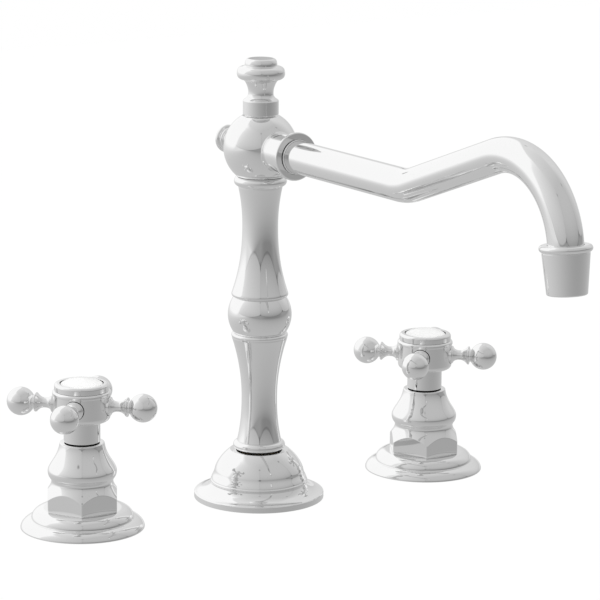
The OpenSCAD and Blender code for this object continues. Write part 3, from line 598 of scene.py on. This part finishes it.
spoutBase = {"rim": 32.5, "band": 2.7, "bead": 24.35, "beadRound": 0.95, "beadLevel": 8.6, "side": 22.25,
             "sideLevel": 14.2, "land": 14.7, "top": 24.5, "headSeat": 11.55, "headLevel": 21.5, "bore": 10.6,
             "boreFoot": 18.5, "recess": 13.9, "hollow": 21.6, "hollowLevel": 4.8, "gasket": 28.5, "gasketDepth": 2.04}


def spoutFlange():
    # turned outline: band, cove, bead, cove and dome outside; seat, bore and round hollow inside
    p = spoutBase
    beadCentre = np.array([p["bead"] - p["beadRound"], p["beadLevel"]])
    beadEnd = beadCentre + p["beadRound"] * np.array([0.5, 0.866])
    outer = column(
        [[p["rim"], 0], [p["rim"], p["band"]]],
        bend((p["rim"] - 0.4, p["band"] + 0.4), (p["rim"] - 4.0, p["band"] + 0.6),
             (p["bead"] + 1.45, p["beadLevel"] - 4.2), (p["bead"] - 0.15, p["beadLevel"] - 1), 30),
        arc(beadCentre, p["beadRound"], -30, 60, 14),
        bend(beadEnd + [0.06, 0.2], (p["bead"] - 0.95, p["sideLevel"] - 2.6), (p["side"] + 0.35, p["sideLevel"] - 2.3),
             (p["side"], p["sideLevel"]), 20),
        bend((p["side"], p["sideLevel"]), (p["side"] - 0.75, p["sideLevel"] + 3), (p["land"] + 4.4, p["top"] - 3.5),
             (p["land"], p["top"]), 44)[1:])
    inner = column([[p["headSeat"], p["top"]], [p["headSeat"], p["headLevel"]], [p["bore"], p["headLevel"]],
                    [p["bore"], p["boreFoot"]], [p["recess"], p["boreFoot"]]],
                   arc((0, p["hollowLevel"]), p["hollow"], 38, 2, 16),
                   [[p["hollow"], p["gasketDepth"]], [p["gasket"], p["gasketDepth"]], [p["gasket"], 0]])
    piece("spoutFlange", ringed(outer, inner, 0.16, 200), "deck_set", "chrome", "spout_flange")


# black washers under what turns: outer and inner radius, foot, top

glides = {"spout": (11.6, 7.46, 24.49, 24.8), "valve": (8.55, 5.25, 42.4, 42.75)}


def glide(name, sizes, node, place=None):
    # a turned rectangle
    outer, inner, foot, top = sizes
    shape = ringed([[outer, foot], [outer, top]], [[inner, top], [inner, foot]], 0.08, 96)
    piece(name, shape, "deck_set", "black_plastic", node, place)


def spoutGlide():
    glide("spoutGlide", glides["spout"], "spout_glide_washer")


# column

columnForm = {"collar": 13.0, "collarHeight": 4.14, "foot": 11.05, "waist": 8.85, "lowerWaist": 51.2,
              "upperWaist": 138.603, "lip": 14.1, "lipRound": 1.2, "footPower": 2.25, "neck": 10.9, "bead": 13.05,
              "beadRound": 2.45, "ball": 15.85, "ballFlat": 11.209, "hub": 18.3, "bore": 7.46, "boreTop": 45.1}


def onBall(radius, centre, inner, outer, steps, up):
    # arc of a ball's cut between two radii, above or below the ball's centre
    r = np.linspace(outer, inner, steps)
    return np.stack([r, centre + (1 if up else -1) * np.sqrt(radius ** 2 - r * r)], 1)


def lowerColumn():
    # turned outline: half-round collar, flares that grow with a power of the height on both sides of the waist
    p, h = columnForm, columnForm["collarHeight"] / 2
    seat = p["lip"] - p["lipRound"]
    outer = column(
        arc((p["collar"] - h, level["collar"] + h), h, -90, 90, 24),
        flare(p["lowerWaist"], level["lower"] + 0.22, p["waist"], p["foot"], p["footPower"], 60)[::-1],
        flare(p["lowerWaist"], level["lip"] - 2.6, p["waist"], p["lip"] - 0.3, 2, 80)[1:],
        arc((seat, level["lip"] - p["lipRound"]), p["lipRound"], -40, 90, 16))
    inner = column(onBall(p["ball"] + clearance, level["ball"], riserR, seat + 0.05, 10, False),
                   [[riserR, p["boreTop"]], [p["bore"], p["boreTop"]], [p["bore"], level["collar"]]])
    piece("lowerColumn", ringed(outer, inner, 0.12, 192), "spout", "chrome", "lower_column")


def middleBall():
    # ball cut flat above and below, with the riser's bore
    p, flat = columnForm, columnForm["ballFlat"]
    a = math.degrees(math.asin(flat / p["ball"]))
    profile = column(arc((0, level["ball"]), p["ball"], -a, a, 90),
                     [[riserR, level["ball"] + flat], [riserR, level["ball"] - flat]])
    piece("middleBall", turned(profile, 192, closed=True), "spout", "chrome", "middle_ball")


def upperColumn():
    # the lower column's flares upside down, then a bead that is cut to the hub's ball
    p = columnForm
    seat = p["lip"] - p["lipRound"]
    beadArc = arc((p["bead"] - p["beadRound"], level["bead"]), p["beadRound"], -80, 90, 60)
    clear = p["hub"] + 0.1
    beadArc = beadArc[np.hypot(beadArc[:, 0], beadArc[:, 1] - level["hub"]) > clear]
    outer = column(
        arc((seat, level["skirt"] + p["lipRound"]), p["lipRound"], -90, 10, 14),
        flare(p["upperWaist"], level["skirt"] + 1.9, p["waist"], p["lip"] - 0.1, p["footPower"], 80)[::-1],
        flare(p["upperWaist"], level["neck"], p["waist"], p["neck"], 2, 44)[1:],
        [[p["neck"], level["neck"] + 0.5]], beadArc)
    inner = column(onBall(clear, level["hub"], riserR, beadArc[-1][0], 12, False)[1:],
                   onBall(p["ball"] + clearance, level["ball"], riserR, seat, 10, True)[::-1])
    piece("upperColumn", ringed(outer, inner, 0.1, 192), "spout", "chrome", "upper_column")


# hub, plug and the tube's collar

hubForm = {"ball": 18.3, "boss": 9.7, "bossEnd": 30.8, "fillet": 0.7, "socketEnd": 15.0, "way": 6.8,
           "wayEnd": 13.0}
plugForm = {"start": 14.0, "neck": 5.2, "disc": 6.95, "discRound": 1.5, "rim": 30.4, "end": 33.0}


def hubBall():
    # ball and boss as one outline turned about the spout's line; the top is cut flat for the finial
    p = hubForm
    ball, boss, f = p["ball"], p["boss"], p["fillet"]
    reach = math.sqrt((ball + f) ** 2 - (boss + f) ** 2)
    meet = math.degrees(math.atan2(reach, boss + f))
    outer = column(arc((0, 0), ball, -90, meet, 150),
                   arc((boss + f, reach), f, meet - 180, -180, 10)[1:], [[boss, p["bossEnd"]]])
    inner = [[tubeBore, p["bossEnd"]], [tubeBore, p["socketEnd"]], [p["way"], p["socketEnd"]], [p["way"], p["wayEnd"]],
             [0, p["wayEnd"]]]
    points, faces = turned(softened(column(outer, inner), 0.15), 224)
    points = moved(points, alongSpout())
    points[:, 2] = np.minimum(points[:, 2], level["finial"])
    piece("hubBall", (points, faces), "spout", "chrome", "hub_ball")


def rearPlug():
    # turned knob on the back of the hub: neck, small bead, disc with a low dome
    p = plugForm
    r, rim, end, neck, curve = p["disc"], p["rim"], p["end"], p["neck"], p["discRound"]
    outline = column([[0, p["start"]], [neck, p["start"]], [neck, rim - 3.9]], arc((neck, rim - 3), 0.9, -88, 88, 12),
                     arc((r - curve, rim), curve, -90, 60, 18),
                     bend((r - 0.75, rim + 1.3), (r - 2.6, end - 0.25), (2, end), (0, end), 30)[1:])
    place = Matrix.Translation((0, 0, level["hub"])) @ spun(-90, "X")
    piece("rearPlug", turned(softened(outline, 0.12), 128), "spout", "chrome", "rear_plug", place)


# ring at the boss's end and ferrule round the tube: radii, and distances from the hub's centre

ringForm = {"outer": 11.8, "back": 30.84, "front": 32.3, "backRound": 0.3, "frontRound": 0.7, "seat": 8.8, "step": 31.4}
ferruleForm = {"outer": 8.5, "back": 31.5, "front": 33.6, "curve": 0.4}


def tubeRing():
    # turned band with round outer corners and a seat for the ferrule
    p = ringForm
    a, b = p["backRound"], p["frontRound"]
    outer = column(arc((p["outer"] - a, p["back"] + a), a, -90, 0, 8),
                   arc((p["outer"] - b, p["front"] - b), b, 0, 90, 16))
    inner = [[p["seat"], p["front"]], [p["seat"], p["step"]], [tubeBore, p["step"]], [tubeBore, p["back"]]]
    piece("tubeRing", ringed(outer, inner, 0.1, 160), "spout", "chrome", "tube_ring", alongSpout())


def tubeFerrule():
    # thin turned sleeve with a round front edge
    p = ferruleForm
    c = p["curve"]
    outer = column([[p["outer"], p["back"]]], arc((p["outer"] - c, p["front"] - c), c, 0, 90, 10))
    shape = ringed(outer, [[tubeBore, p["front"]], [tubeBore, p["back"]]], 0.05, 144)
    piece("tubeFerrule", shape, "spout", "chrome", "tube_ferrule", alongSpout())


# spout tube

spoutWay = {"start": 15.2, "flat": 118.6, "rise": 20, "riseBend": 36, "ramp": 63.0, "downBend": 38.5, "lean": 5,
            "drop": 10.4, "wall": 1.2, "edge": 0.15}


def spoutTube():
    # a ring carried along the way: straight, up by the rise, straight, over and down to the lean, straight
    p = spoutWay
    rise = math.radians(p["rise"])
    way = [[[s, level["hub"]] for s in np.linspace(p["start"], p["flat"], 40, endpoint=False)]]
    turns = [np.zeros(40)]
    bendA = np.array([p["flat"], level["hub"] + p["riseBend"]])
    t = np.linspace(0, rise, 24, endpoint=False)
    way.append(bendA + p["riseBend"] * np.stack([np.sin(t), -np.cos(t)], 1))
    turns.append(t)
    rampStart = bendA + p["riseBend"] * np.array([math.sin(rise), -math.cos(rise)])
    along = np.array([math.cos(rise), math.sin(rise)])
    way.append(rampStart + along * np.linspace(0, p["ramp"], 26, endpoint=False)[:, None])
    turns.append(np.full(26, rise))
    bendB = rampStart + along * p["ramp"] + p["downBend"] * np.array([math.sin(rise), -math.cos(rise)])
    lean = math.radians(p["lean"]) - math.pi / 2
    t = np.linspace(rise, lean, 90, endpoint=False)
    way.append(bendB + p["downBend"] * np.stack([-np.sin(t), np.cos(t)], 1))
    turns.append(t)
    foot = bendB + p["downBend"] * np.array([-math.sin(lean), math.cos(lean)])
    way.append(foot + np.linspace(0, p["drop"], 7)[:, None] * np.array([math.cos(lean), math.sin(lean)]))
    turns.append(np.full(7, lean))
    way, turns = np.concatenate([np.asarray(w, float) for w in way]), np.concatenate(turns)
    centre = np.stack([0 * turns, -way[:, 0], way[:, 1]], 1)
    up = np.stack([0 * turns, np.sin(turns), np.cos(turns)], 1)
    side = np.array([1.0, 0, 0])
    u = np.linspace(0, 2 * np.pi, 112, endpoint=False)[:, None]

    def ring(radius, rows=slice(None)):
        c, v = centre[rows, None, :], up[rows, None, :]
        return c + radius * (np.cos(u) * side + np.sin(u) * v)

    edge = tubeR - p["edge"]
    points = np.concatenate([ring(edge, slice(0, 1)), ring(tubeR), ring(edge, slice(-1, None)),
                             ring(tubeR - p["wall"])[::-1]])
    piece("spoutTube", grid(points, closedRows=True), "spout", "chrome", "spout_tube")


# finial

finialForm = {"height": 28.1, "collar": 8.8, "collarHeight": 7.8, "neck": 6.2, "neckHeight": 11.4, "disc": 11.8,
              "discDrop": 7.3, "button": 7.95, "flat": 6.0}


def finial():
    # turned outline: collar, waisted neck, disc and button, joined by cubic curves
    p = finialForm
    z, top = level["finial"], level["finial"] + p["height"]
    collar, neck, disc, button, flat = p["collar"], p["neck"], p["disc"], p["button"], p["flat"]
    collarTop, neckLevel, discLevel = z + p["collarHeight"], z + p["neckHeight"], top - p["discDrop"]
    step, stepTop, buttonFoot = button + 0.4, discLevel - 3, discLevel + 3.9
    outline = column(
        [[0, z], [collar - 1.2, z], [collar - 1.2, z + 0.7], [collar, z + 0.75], [collar, collarTop - 0.4]],
        bend((collar - 0.4, collarTop + 0.1), (collar - 2.2, collarTop + 1.1), (neck, neckLevel - 1.7),
             (neck, neckLevel), 24),
        bend((neck, neckLevel + 0.3), (neck, neckLevel + 2.4), (step - 0.9, stepTop - 1.6),
             (step - 0.3, stepTop - 0.7), 24),
        [[step, stepTop - 0.5], [step, stepTop]],
        bend((step + 0.25, stepTop), (disc - 0.9, stepTop + 0.1), (disc, discLevel - 1.7), (disc, discLevel), 24),
        bend((disc, discLevel), (disc, discLevel + 2.1), (disc - 0.6, discLevel + 3.1), (button + 0.9, discLevel + 3.6),
             28)[1:],
        [[button, buttonFoot]],
        bend((button, buttonFoot + 0.4), (button, top - 0.7), (flat + 1, top), (flat, top), 30), [[0, top]])
    piece("finial", turned(softened(outline, 0.14), 160), "spout", "chrome", "finial")


# aerator

aerator = {"top": 170.564, "bottom": 148.864, "mouth": 9.0, "wide": 10.6, "bead": 11.75, "beadRound": 1.55,
           "pivot": (241.635, 168.364), "socketFoot": 167.16, "stop": 157.92, "inside": 7.69, "ledge": 150.07,
           "mouthBore": 7.0}
aeratorParts = {"screen": 150.1, "screenThick": 0.75, "insertTop": 155.46, "gasketTop": 157.9, "radius": 7.6,
                "rings": ((7.15, 0.45), (5.2, 0.22), (3.4, 0.22), (1.6, 0.22)), "screenBars": (12, 6.9, 0.4),
                "insertBars": (8, 6.0, 0.7), "core": 2.4, "gasketBore": 5.4}


def aeratorShell():
    # turned cone with a bead, leaning with the tube's end about the pivot
    p = aerator
    top, bottom, bead = p["top"], p["bottom"], p["beadRound"]
    coneTop = top - 2 * bead - 0.3
    outer = column([[p["mouth"] - 0.4, bottom], [p["mouth"], bottom + 0.4], [p["wide"], coneTop],
                    [p["wide"] - 0.3, coneTop + 0.2]],
                   arc((p["bead"] - bead, top - bead), bead, -75, 90, 28))
    socket, inside, mouth = tubeR + 0.15, p["inside"], p["mouthBore"]
    inner = [[socket, top], [socket, p["socketFoot"]], [tubeBore, p["socketFoot"]], [tubeBore, p["stop"]],
             [inside, p["stop"]], [inside, p["ledge"]], [mouth, p["ledge"]], [mouth, bottom]]
    reach, height = p["pivot"]
    place = Matrix.Translation((0, -reach, height)) @ spun(-spoutWay["lean"], "X") @ \
        Matrix.Translation((0, 0, -height))
    piece("aeratorShell", ringed(outer, inner, 0.14, 144), "spout", "chrome", "aerator_shell", place)
    aeratorInside(place)


def bars(count, length, width, low, high):
    # flat bars from the axis outwards, one for each equal angle: a four-sided tube closed by a pole at both ends
    w, rows = width / 2, []
    section = np.array([[-w, low], [w, low], [w, high], [-w, high]])
    middle = section.mean(0)
    for x, keep in ((0, 0), (0, 1), (length, 1), (length, 0)):
        yz = middle + keep * (section - middle)
        rows.append(np.stack([0 * yz[:, 0] + x, yz[:, 0], yz[:, 1]], 1))
    flat, faces = grid(np.stack(rows))
    return joined(*[(moved(flat, spun(360 * k / count, "Z")), faces) for k in range(count)])


def aeratorInside(place):
    # screen: turned rings on bars; insert: turned cup and core on bars; gasket: turned rectangle
    p = aeratorParts
    z, top = p["screen"], p["screen"] + p["screenThick"]
    rims = [ringed([[r + w, z], [r + w, top]], [[r - w, top], [r - w, z]], 0.1, 96) for r, w in p["rings"]]
    screen = joined(*rims, bars(*p["screenBars"], z + 0.15, top - 0.15))
    piece("aeratorScreen", screen, "spout", "steel", "aerator_screen", place)
    low, high, core = top + clearance, p["insertTop"], p["core"]
    cup = ringed([[p["radius"], low], [p["radius"], high]],
                 [[5.6, high], [5.0, low + 1.6], [6.4, low + 1.2], [6.4, low]], 0.12, 96)
    stem = column([[0, low], [core - 0.5, low], [core, low + 1.4], [core, high - 0.4], [0, high - 0.4]])
    insert = joined(cup, turned(softened(stem, 0.12), 64), bars(*p["insertBars"], low + 1.3, high - 0.6))
    piece("aeratorInsert", insert, "spout", "white_plastic", "aerator_insert", place)
    low, high, bore = high + clearance, p["gasketTop"], p["gasketBore"]
    gasket = ringed([[p["radius"], low], [p["radius"], high]], [[bore, high], [bore, low]], 0.25, 96)
    piece("aeratorGasket", gasket, "spout", "rubber", "aerator_gasket", place)


for make in (spoutFlange, spoutGlide, lowerColumn, middleBall, upperColumn, hubBall, rearPlug, tubeRing, tubeFerrule,
             spoutTube, finial, aeratorShell):
    make()
print("spout made")


# valves: the same pieces twice, the cold one turned about its own axis

def atValve(side):
    return Matrix.Translation((side * level["valve"], 0, 0)) @ spun(180 if side > 0 else 0, "Z")


flangeForm = {"rim": 30.1, "groove": 25.0, "grooveLevel": 4.6, "top": 9.6, "land": 18.6, "bore": 12.15,
              "boreFoot": 6.6, "recess": 17.1, "hollow": 22.5, "hollowLevel": 3.4, "gasket": 27.5, "gasketDepth": 2.04}


def valveFlange(side, name):
    # turned outline: two rounded rings with a groove between them
    p = flangeForm
    r, groove, grooveLevel, top, land = (p[k] for k in ("rim", "groove", "grooveLevel", "top", "land"))
    outer = column(
        [[r, 0]],
        bend((r, 0.6), (r - 0.5, grooveLevel - 2), (r - 2.5, grooveLevel - 0.4), (groove + 0.2, grooveLevel), 34),
        bend((groove - 0.1, grooveLevel + 0.15), (groove - 0.2, grooveLevel + 2.6), (groove - 2.4, top),
             (land, top), 34))
    inner = [[p["bore"], top], [p["bore"], p["boreFoot"]], [p["recess"], p["boreFoot"]],
             [p["hollow"], p["hollowLevel"]], [p["hollow"], p["gasketDepth"]], [p["gasket"], p["gasketDepth"]],
             [p["gasket"], 0]]
    piece(name + "Flange", ringed(outer, inner, 0.14, 200), "deck_set", "chrome", name + "_flange", atValve(side))


bonnetForm = {"corner": 19.25, "cornerRound": 0.9, "hex": 15.6, "neck": 14.95, "neckLevel": 23.3,
              "bulge": 16.7, "bulgeLevel": 28.2, "rim": 10.9, "top": 42.4, "foot": 9.6, "spindle": 5.04,
              "chamber": 7.2, "chamberTop": 35.6, "chamberFoot": 28.6, "bore": 12.1}


def hexRadius(angle):
    # distance from the axis to a hexagon with rounded corners, in the direction of each angle
    p = bonnetForm
    flat = p["corner"] * math.cos(math.pi / 6)
    phi = np.abs((angle + np.pi / 6) % (np.pi / 3) - np.pi / 6)
    phi = np.pi / 6 - phi  # corners lie on the X axis, so phi is measured from the middle of a flat
    r = flat / np.cos(phi)
    away = (flat - p["cornerRound"]) / math.cos(math.pi / 6)
    delta = np.pi / 6 - phi
    rounded = away * np.cos(delta) + np.sqrt(np.maximum(p["cornerRound"] ** 2 - (away * np.sin(delta)) ** 2, 0))
    return np.where(flat * np.tan(phi) > (flat - p["cornerRound"]) * math.tan(math.pi / 6), rounded, r)


def bonnet(side, name):
    # hexagon below, turned shape above; the two meet where the turned outline is as wide as the hexagon
    p = bonnetForm
    shoulder = bend((p["corner"] + 0.35, p["hex"] - 0.6), (p["corner"] - 1.1, p["hex"] + 2.2),
                    (p["neck"], p["neckLevel"] - 2.6), (p["neck"], p["neckLevel"]), 60)
    inward = p["bulgeLevel"] - 2
    body = column(
        bend((p["neck"], p["neckLevel"]), (p["neck"] + 0.3, p["neckLevel"] + 1.9), (p["bulge"], inward - 0.9),
             (p["bulge"], p["bulgeLevel"]), 22)[1:],
        bend((p["bulge"], p["bulgeLevel"]), (p["bulge"], p["bulgeLevel"] + 3.2), (p["rim"] + 0.9, p["top"] - 7.6),
             (p["rim"], p["top"] - 0.5), 50)[1:],
        [[p["rim"] - 0.08, p["top"] - 0.2], [p["rim"] - 0.4, p["top"]], [8.0, p["top"]],
         [p["spindle"] + 0.06, p["top"]]],
        [[p["spindle"], p["top"] - 0.1], [p["spindle"], p["chamberTop"]], [p["chamber"], p["chamberTop"] - 0.02],
         [p["chamber"], p["chamberFoot"]], [p["bore"], p["chamberFoot"] - 0.06], [p["bore"], p["foot"] + 0.1],
         [p["bore"] + 0.1, p["foot"]]])
    body = softened(body, 0.12)
    steps = np.concatenate([np.linspace(-30, -24, 13), np.linspace(-23, 23, 24), np.linspace(24, 30, 13)[:-1]])
    u = np.radians((30 + np.arange(6)[:, None] * 60 + steps[None, :]).ravel())
    hexR = hexRadius(u)
    crease = np.interp(-hexR, -shoulder[:, 0], np.arange(len(shoulder)))
    rows = []
    meetZ = np.interp(crease, np.arange(len(shoulder)), shoulder[:, 1])
    for t in (0, 0.02, 0.25, 0.5, 0.75, 0.97, 0.99):
        rows.append((hexR - (0.12 if t == 0 else 0), p["foot"] + (meetZ - p["foot"]) * t))
    for t in np.concatenate([[0.012, 0.03], np.linspace(0.06, 1, 24)]):
        k = crease + (len(shoulder) - 1 - crease) * t
        rows.append(tuple(np.interp(k, np.arange(len(shoulder)), shoulder[:, c]) for c in (0, 1)))
    rows += [(np.full_like(u, r), np.full_like(u, z)) for r, z in body]
    points = np.stack([np.stack([r * np.cos(u), r * np.sin(u), z], 1) for r, z in rows])
    piece(name + "Bonnet", grid(points, closedRows=True), "deck_set", "chrome", name + "_bonnet", atValve(side))


def handleGlide(side, name):
    glide(name + "Glide", glides["valve"], name + "_glide_washer", atValve(side))


# handles

handleForm = {"stem": 8.85, "stemLevel": 42.85, "hubLevel": 53.2, "hub": 13.85, "hubRound": 2.6, "top": 68.2,
              "arm": 60.9, "reach": 30.4, "ball": 6.9, "neck": 2.45, "collar": 4.7, "root": 4.6, "rootGap": 0.2,
              "socket": 1.6, "patchFoot": 55.86, "patchTop": 65.94, "spindle": 5.3, "spindleTop": 47.85,
              "seat": 10.05, "seatLevel": 64.2, "pin": 2.6, "pinDepth": 3.6, "pinStart": 8.65}


def merged(points, faces, places=4):
    # points that coincide become one
    first, inverse = np.unique(np.round(points, places), axis=0, return_index=True, return_inverse=True)[1:]
    return points[first], inverse.ravel()[faces]


def socketPatch(turn):
    # quarter of the hub's wall round one arm's socket: rings go from the patch's rectangle to the round edge
    p = handleForm
    half, low, high = math.pi / 4, p["patchFoot"], p["patchTop"]
    count = 24
    side = np.linspace(-1, 1, count + 1)[:-1]
    ones = np.ones(count)
    loop = np.concatenate([np.stack([side, -ones], 1), np.stack([ones, side], 1), np.stack([-side, ones], 1),
                           np.stack([-ones, -side], 1)])
    rect = np.stack([loop[:, 0] * half * p["hub"], (low + high) / 2 + loop[:, 1] * (high - low) / 2], 1)
    radius = p["root"] + p["rootGap"]
    aim = np.arctan2(rect[:, 1] - p["arm"], rect[:, 0])
    reachY = (radius + 0.12) * np.cos(aim)
    rim = np.stack([p["hub"] * np.arcsin(reachY / p["hub"]), p["arm"] + (radius + 0.12) * np.sin(aim)], 1)
    rows = []
    for t in np.concatenate([np.linspace(0, 0.9, 10), [0.97, 1.0]]):
        flat = rect + (rim - rect) * t
        a = flat[:, 0] / p["hub"]
        rows.append(np.stack([p["hub"] * np.cos(a), p["hub"] * np.sin(a), flat[:, 1]], 1))
    y, z = radius * np.cos(aim), p["arm"] + radius * np.sin(aim)
    floor = p["hub"] - p["socket"]
    wall = np.sqrt(p["hub"] ** 2 - y * y)
    for depth in (0.1, 0.25):
        rows.append(np.stack([wall - depth, y, z], 1))
    for share in (0.5, 1.0):
        rows.append(np.stack([wall - 0.25 + (floor + 0.1 - wall + 0.25) * share, y, z], 1))
    pin, end = p["pin"], floor - p["pinDepth"]
    for r, x in ((radius - 0.12, floor), (4.0, floor), (pin + 0.1, floor), (pin, floor - 0.1), (pin, end), (0, end)):
        rows.append(np.stack([0 * aim + x, r * np.cos(aim), p["arm"] + r * np.sin(aim)], 1))
    flat, faces = grid(np.stack(rows))
    c, s = math.cos(turn), math.sin(turn)
    return flat @ np.array([[c, s, 0], [-s, c, 0], [0, 0, 1]]), faces


def handleHub(side, name):
    # turned stem and shoulder below, turned rim above, and four quarter patches with the arms' sockets between
    p = handleForm
    count = 24 * 4
    low = column([[0, p["spindleTop"]], [p["spindle"], p["spindleTop"]], [p["spindle"], p["stemLevel"]],
                  [p["stem"] - 0.15, p["stemLevel"]],
                  [p["stem"], p["stemLevel"] + 0.15], [p["stem"], p["hubLevel"] - 0.5],
                  [p["stem"] + 0.5, p["hubLevel"]]],
                 arc((p["hub"] - p["hubRound"], p["hubLevel"] + p["hubRound"]), p["hubRound"], -90, 0, 24),
                 [[p["hub"], p["patchFoot"]]])
    high = column([[p["hub"], p["patchTop"]], [p["hub"], p["patchTop"] + 0.04],
                   [p["hub"] + 0.35, p["patchTop"] + 0.36]],
                  arc((p["hub"] - 0.85, p["top"] - 1.2), 1.2, 0, 90, 16),
                  [[p["seat"], p["top"]], [p["seat"], p["seatLevel"]], [0, p["seatLevel"]]])
    patches = [socketPatch(math.radians(45 + 90 * k)) for k in range(4)]
    shape = merged(*joined(turned(softened(low, 0.1), count), turned(softened(high, 0.1), count), *patches))
    piece(name + "HandleHub", shape, name + "_handle", "chrome", name + "_handle_hub", atValve(side))


def handleArms(side, name):
    # turned pin, root, waist, collar and ball, four times round the hub
    p = handleForm
    root, reach, ball = p["hub"] + 0.8, p["reach"], p["ball"]
    waist, collar = root + 3.6, reach - ball - 0.9
    stub = p["neck"] + 0.7
    a = math.degrees(math.asin(stub / ball))
    outline = column(
        [[0, p["pinStart"]], [p["pin"] - 0.05, p["pinStart"]], [p["pin"] - 0.05, p["hub"] - 1.5],
         [p["root"], p["hub"] - 1.5], [p["root"], root - 0.3], [p["root"] - 0.3, root]],
        bend((p["root"] - 0.5, root), (p["neck"] + 0.1, root + 1), (p["neck"], waist - 1.2), (p["neck"], waist), 24),
        bend((p["neck"], waist + 0.2), (p["neck"], waist + 2), (p["collar"] - 1.2, collar - 1.2),
             (p["collar"] - 0.15, collar - 0.25), 24),
        [[p["collar"], collar], [p["collar"], collar + 0.4], [stub, collar + 0.8]],
        arc((0, reach), ball, a - 90, 90, 64))
    arm = turned(softened(outline, 0.1), 96)
    arms = []
    for k in range(4):
        place = Matrix.Translation((0, 0, p["arm"])) @ spun(45 + 90 * k, "Z") @ spun(90, "Y")
        arms.append((moved(arm[0], place), arm[1]))
    piece(name + "HandleArms", joined(*arms), name + "_handle", "chrome", name + "_handle_arms", atValve(side))


capForm = {"ring": 13.25, "ringFoot": 68.24, "ringTop": 71.74, "ringRound": 1.3, "skirt": 10.01, "skirtFoot": 64.8,
           "skirtBore": 8.75, "opening": 10.6, "floor": 69.34, "button": 10.32, "rim": 71.54, "dome": 2.5}


def handleCap(side, name):
    # turned ring with a skirt, and the porcelain button that sits in it: a cylinder with a curved dome
    p = capForm
    cap, low, high, curve = (p[k] for k in ("ring", "ringFoot", "ringTop", "ringRound"))
    opening, floor, body, place = p["opening"], p["floor"], name + "_handle", atValve(side)
    outer = column([[p["skirt"], p["skirtFoot"]], [p["skirt"], low], [cap - 0.15, low], [cap, low + 0.15]],
                   arc((cap - curve, high - curve), curve, 0, 90, 18))
    inner = [[opening, high], [opening, floor], [p["skirtBore"], floor], [p["skirtBore"], p["skirtFoot"]]]
    piece(name + "CapRing", ringed(outer, inner, 0.12, 144), body, "chrome", name + "_cap_ring", place)
    button, rim, top = p["button"], p["rim"], p["rim"] + p["dome"]
    dome = column([[0, floor], [button, floor], [button, rim - 0.35]],
                  bend((button - 0.3, rim), (button - 2.2, rim + 1.25), (button / 2, top), (0, top), 40))
    piece(name + "Button", turned(softened(dome, 0.3), 128), body, "porcelain", name + "_button", place)


for side, name in ((-1, "hot"), (1, "cold")):
    for make in (valveFlange, bonnet, handleGlide, handleHub, handleArms, handleCap):
        make(side, name)
    print(name, "valve made")


# the CAD pieces that stay get their finish

for sub in frame["record"]["subparts"]:
    node = frame["nodes"].get(sub["node"])
    if node is None:
        continue
    for one in (node if isinstance(node, (list, tuple)) else [node]):
        for slot in one.material_slots:
            slot.material = bySlot[sub["material_slot"]]
        one.visible_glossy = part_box(sub["node"])[0][2] > -0.001  # the plating doesn't mirror what is under the deck
print("carried pieces finished")
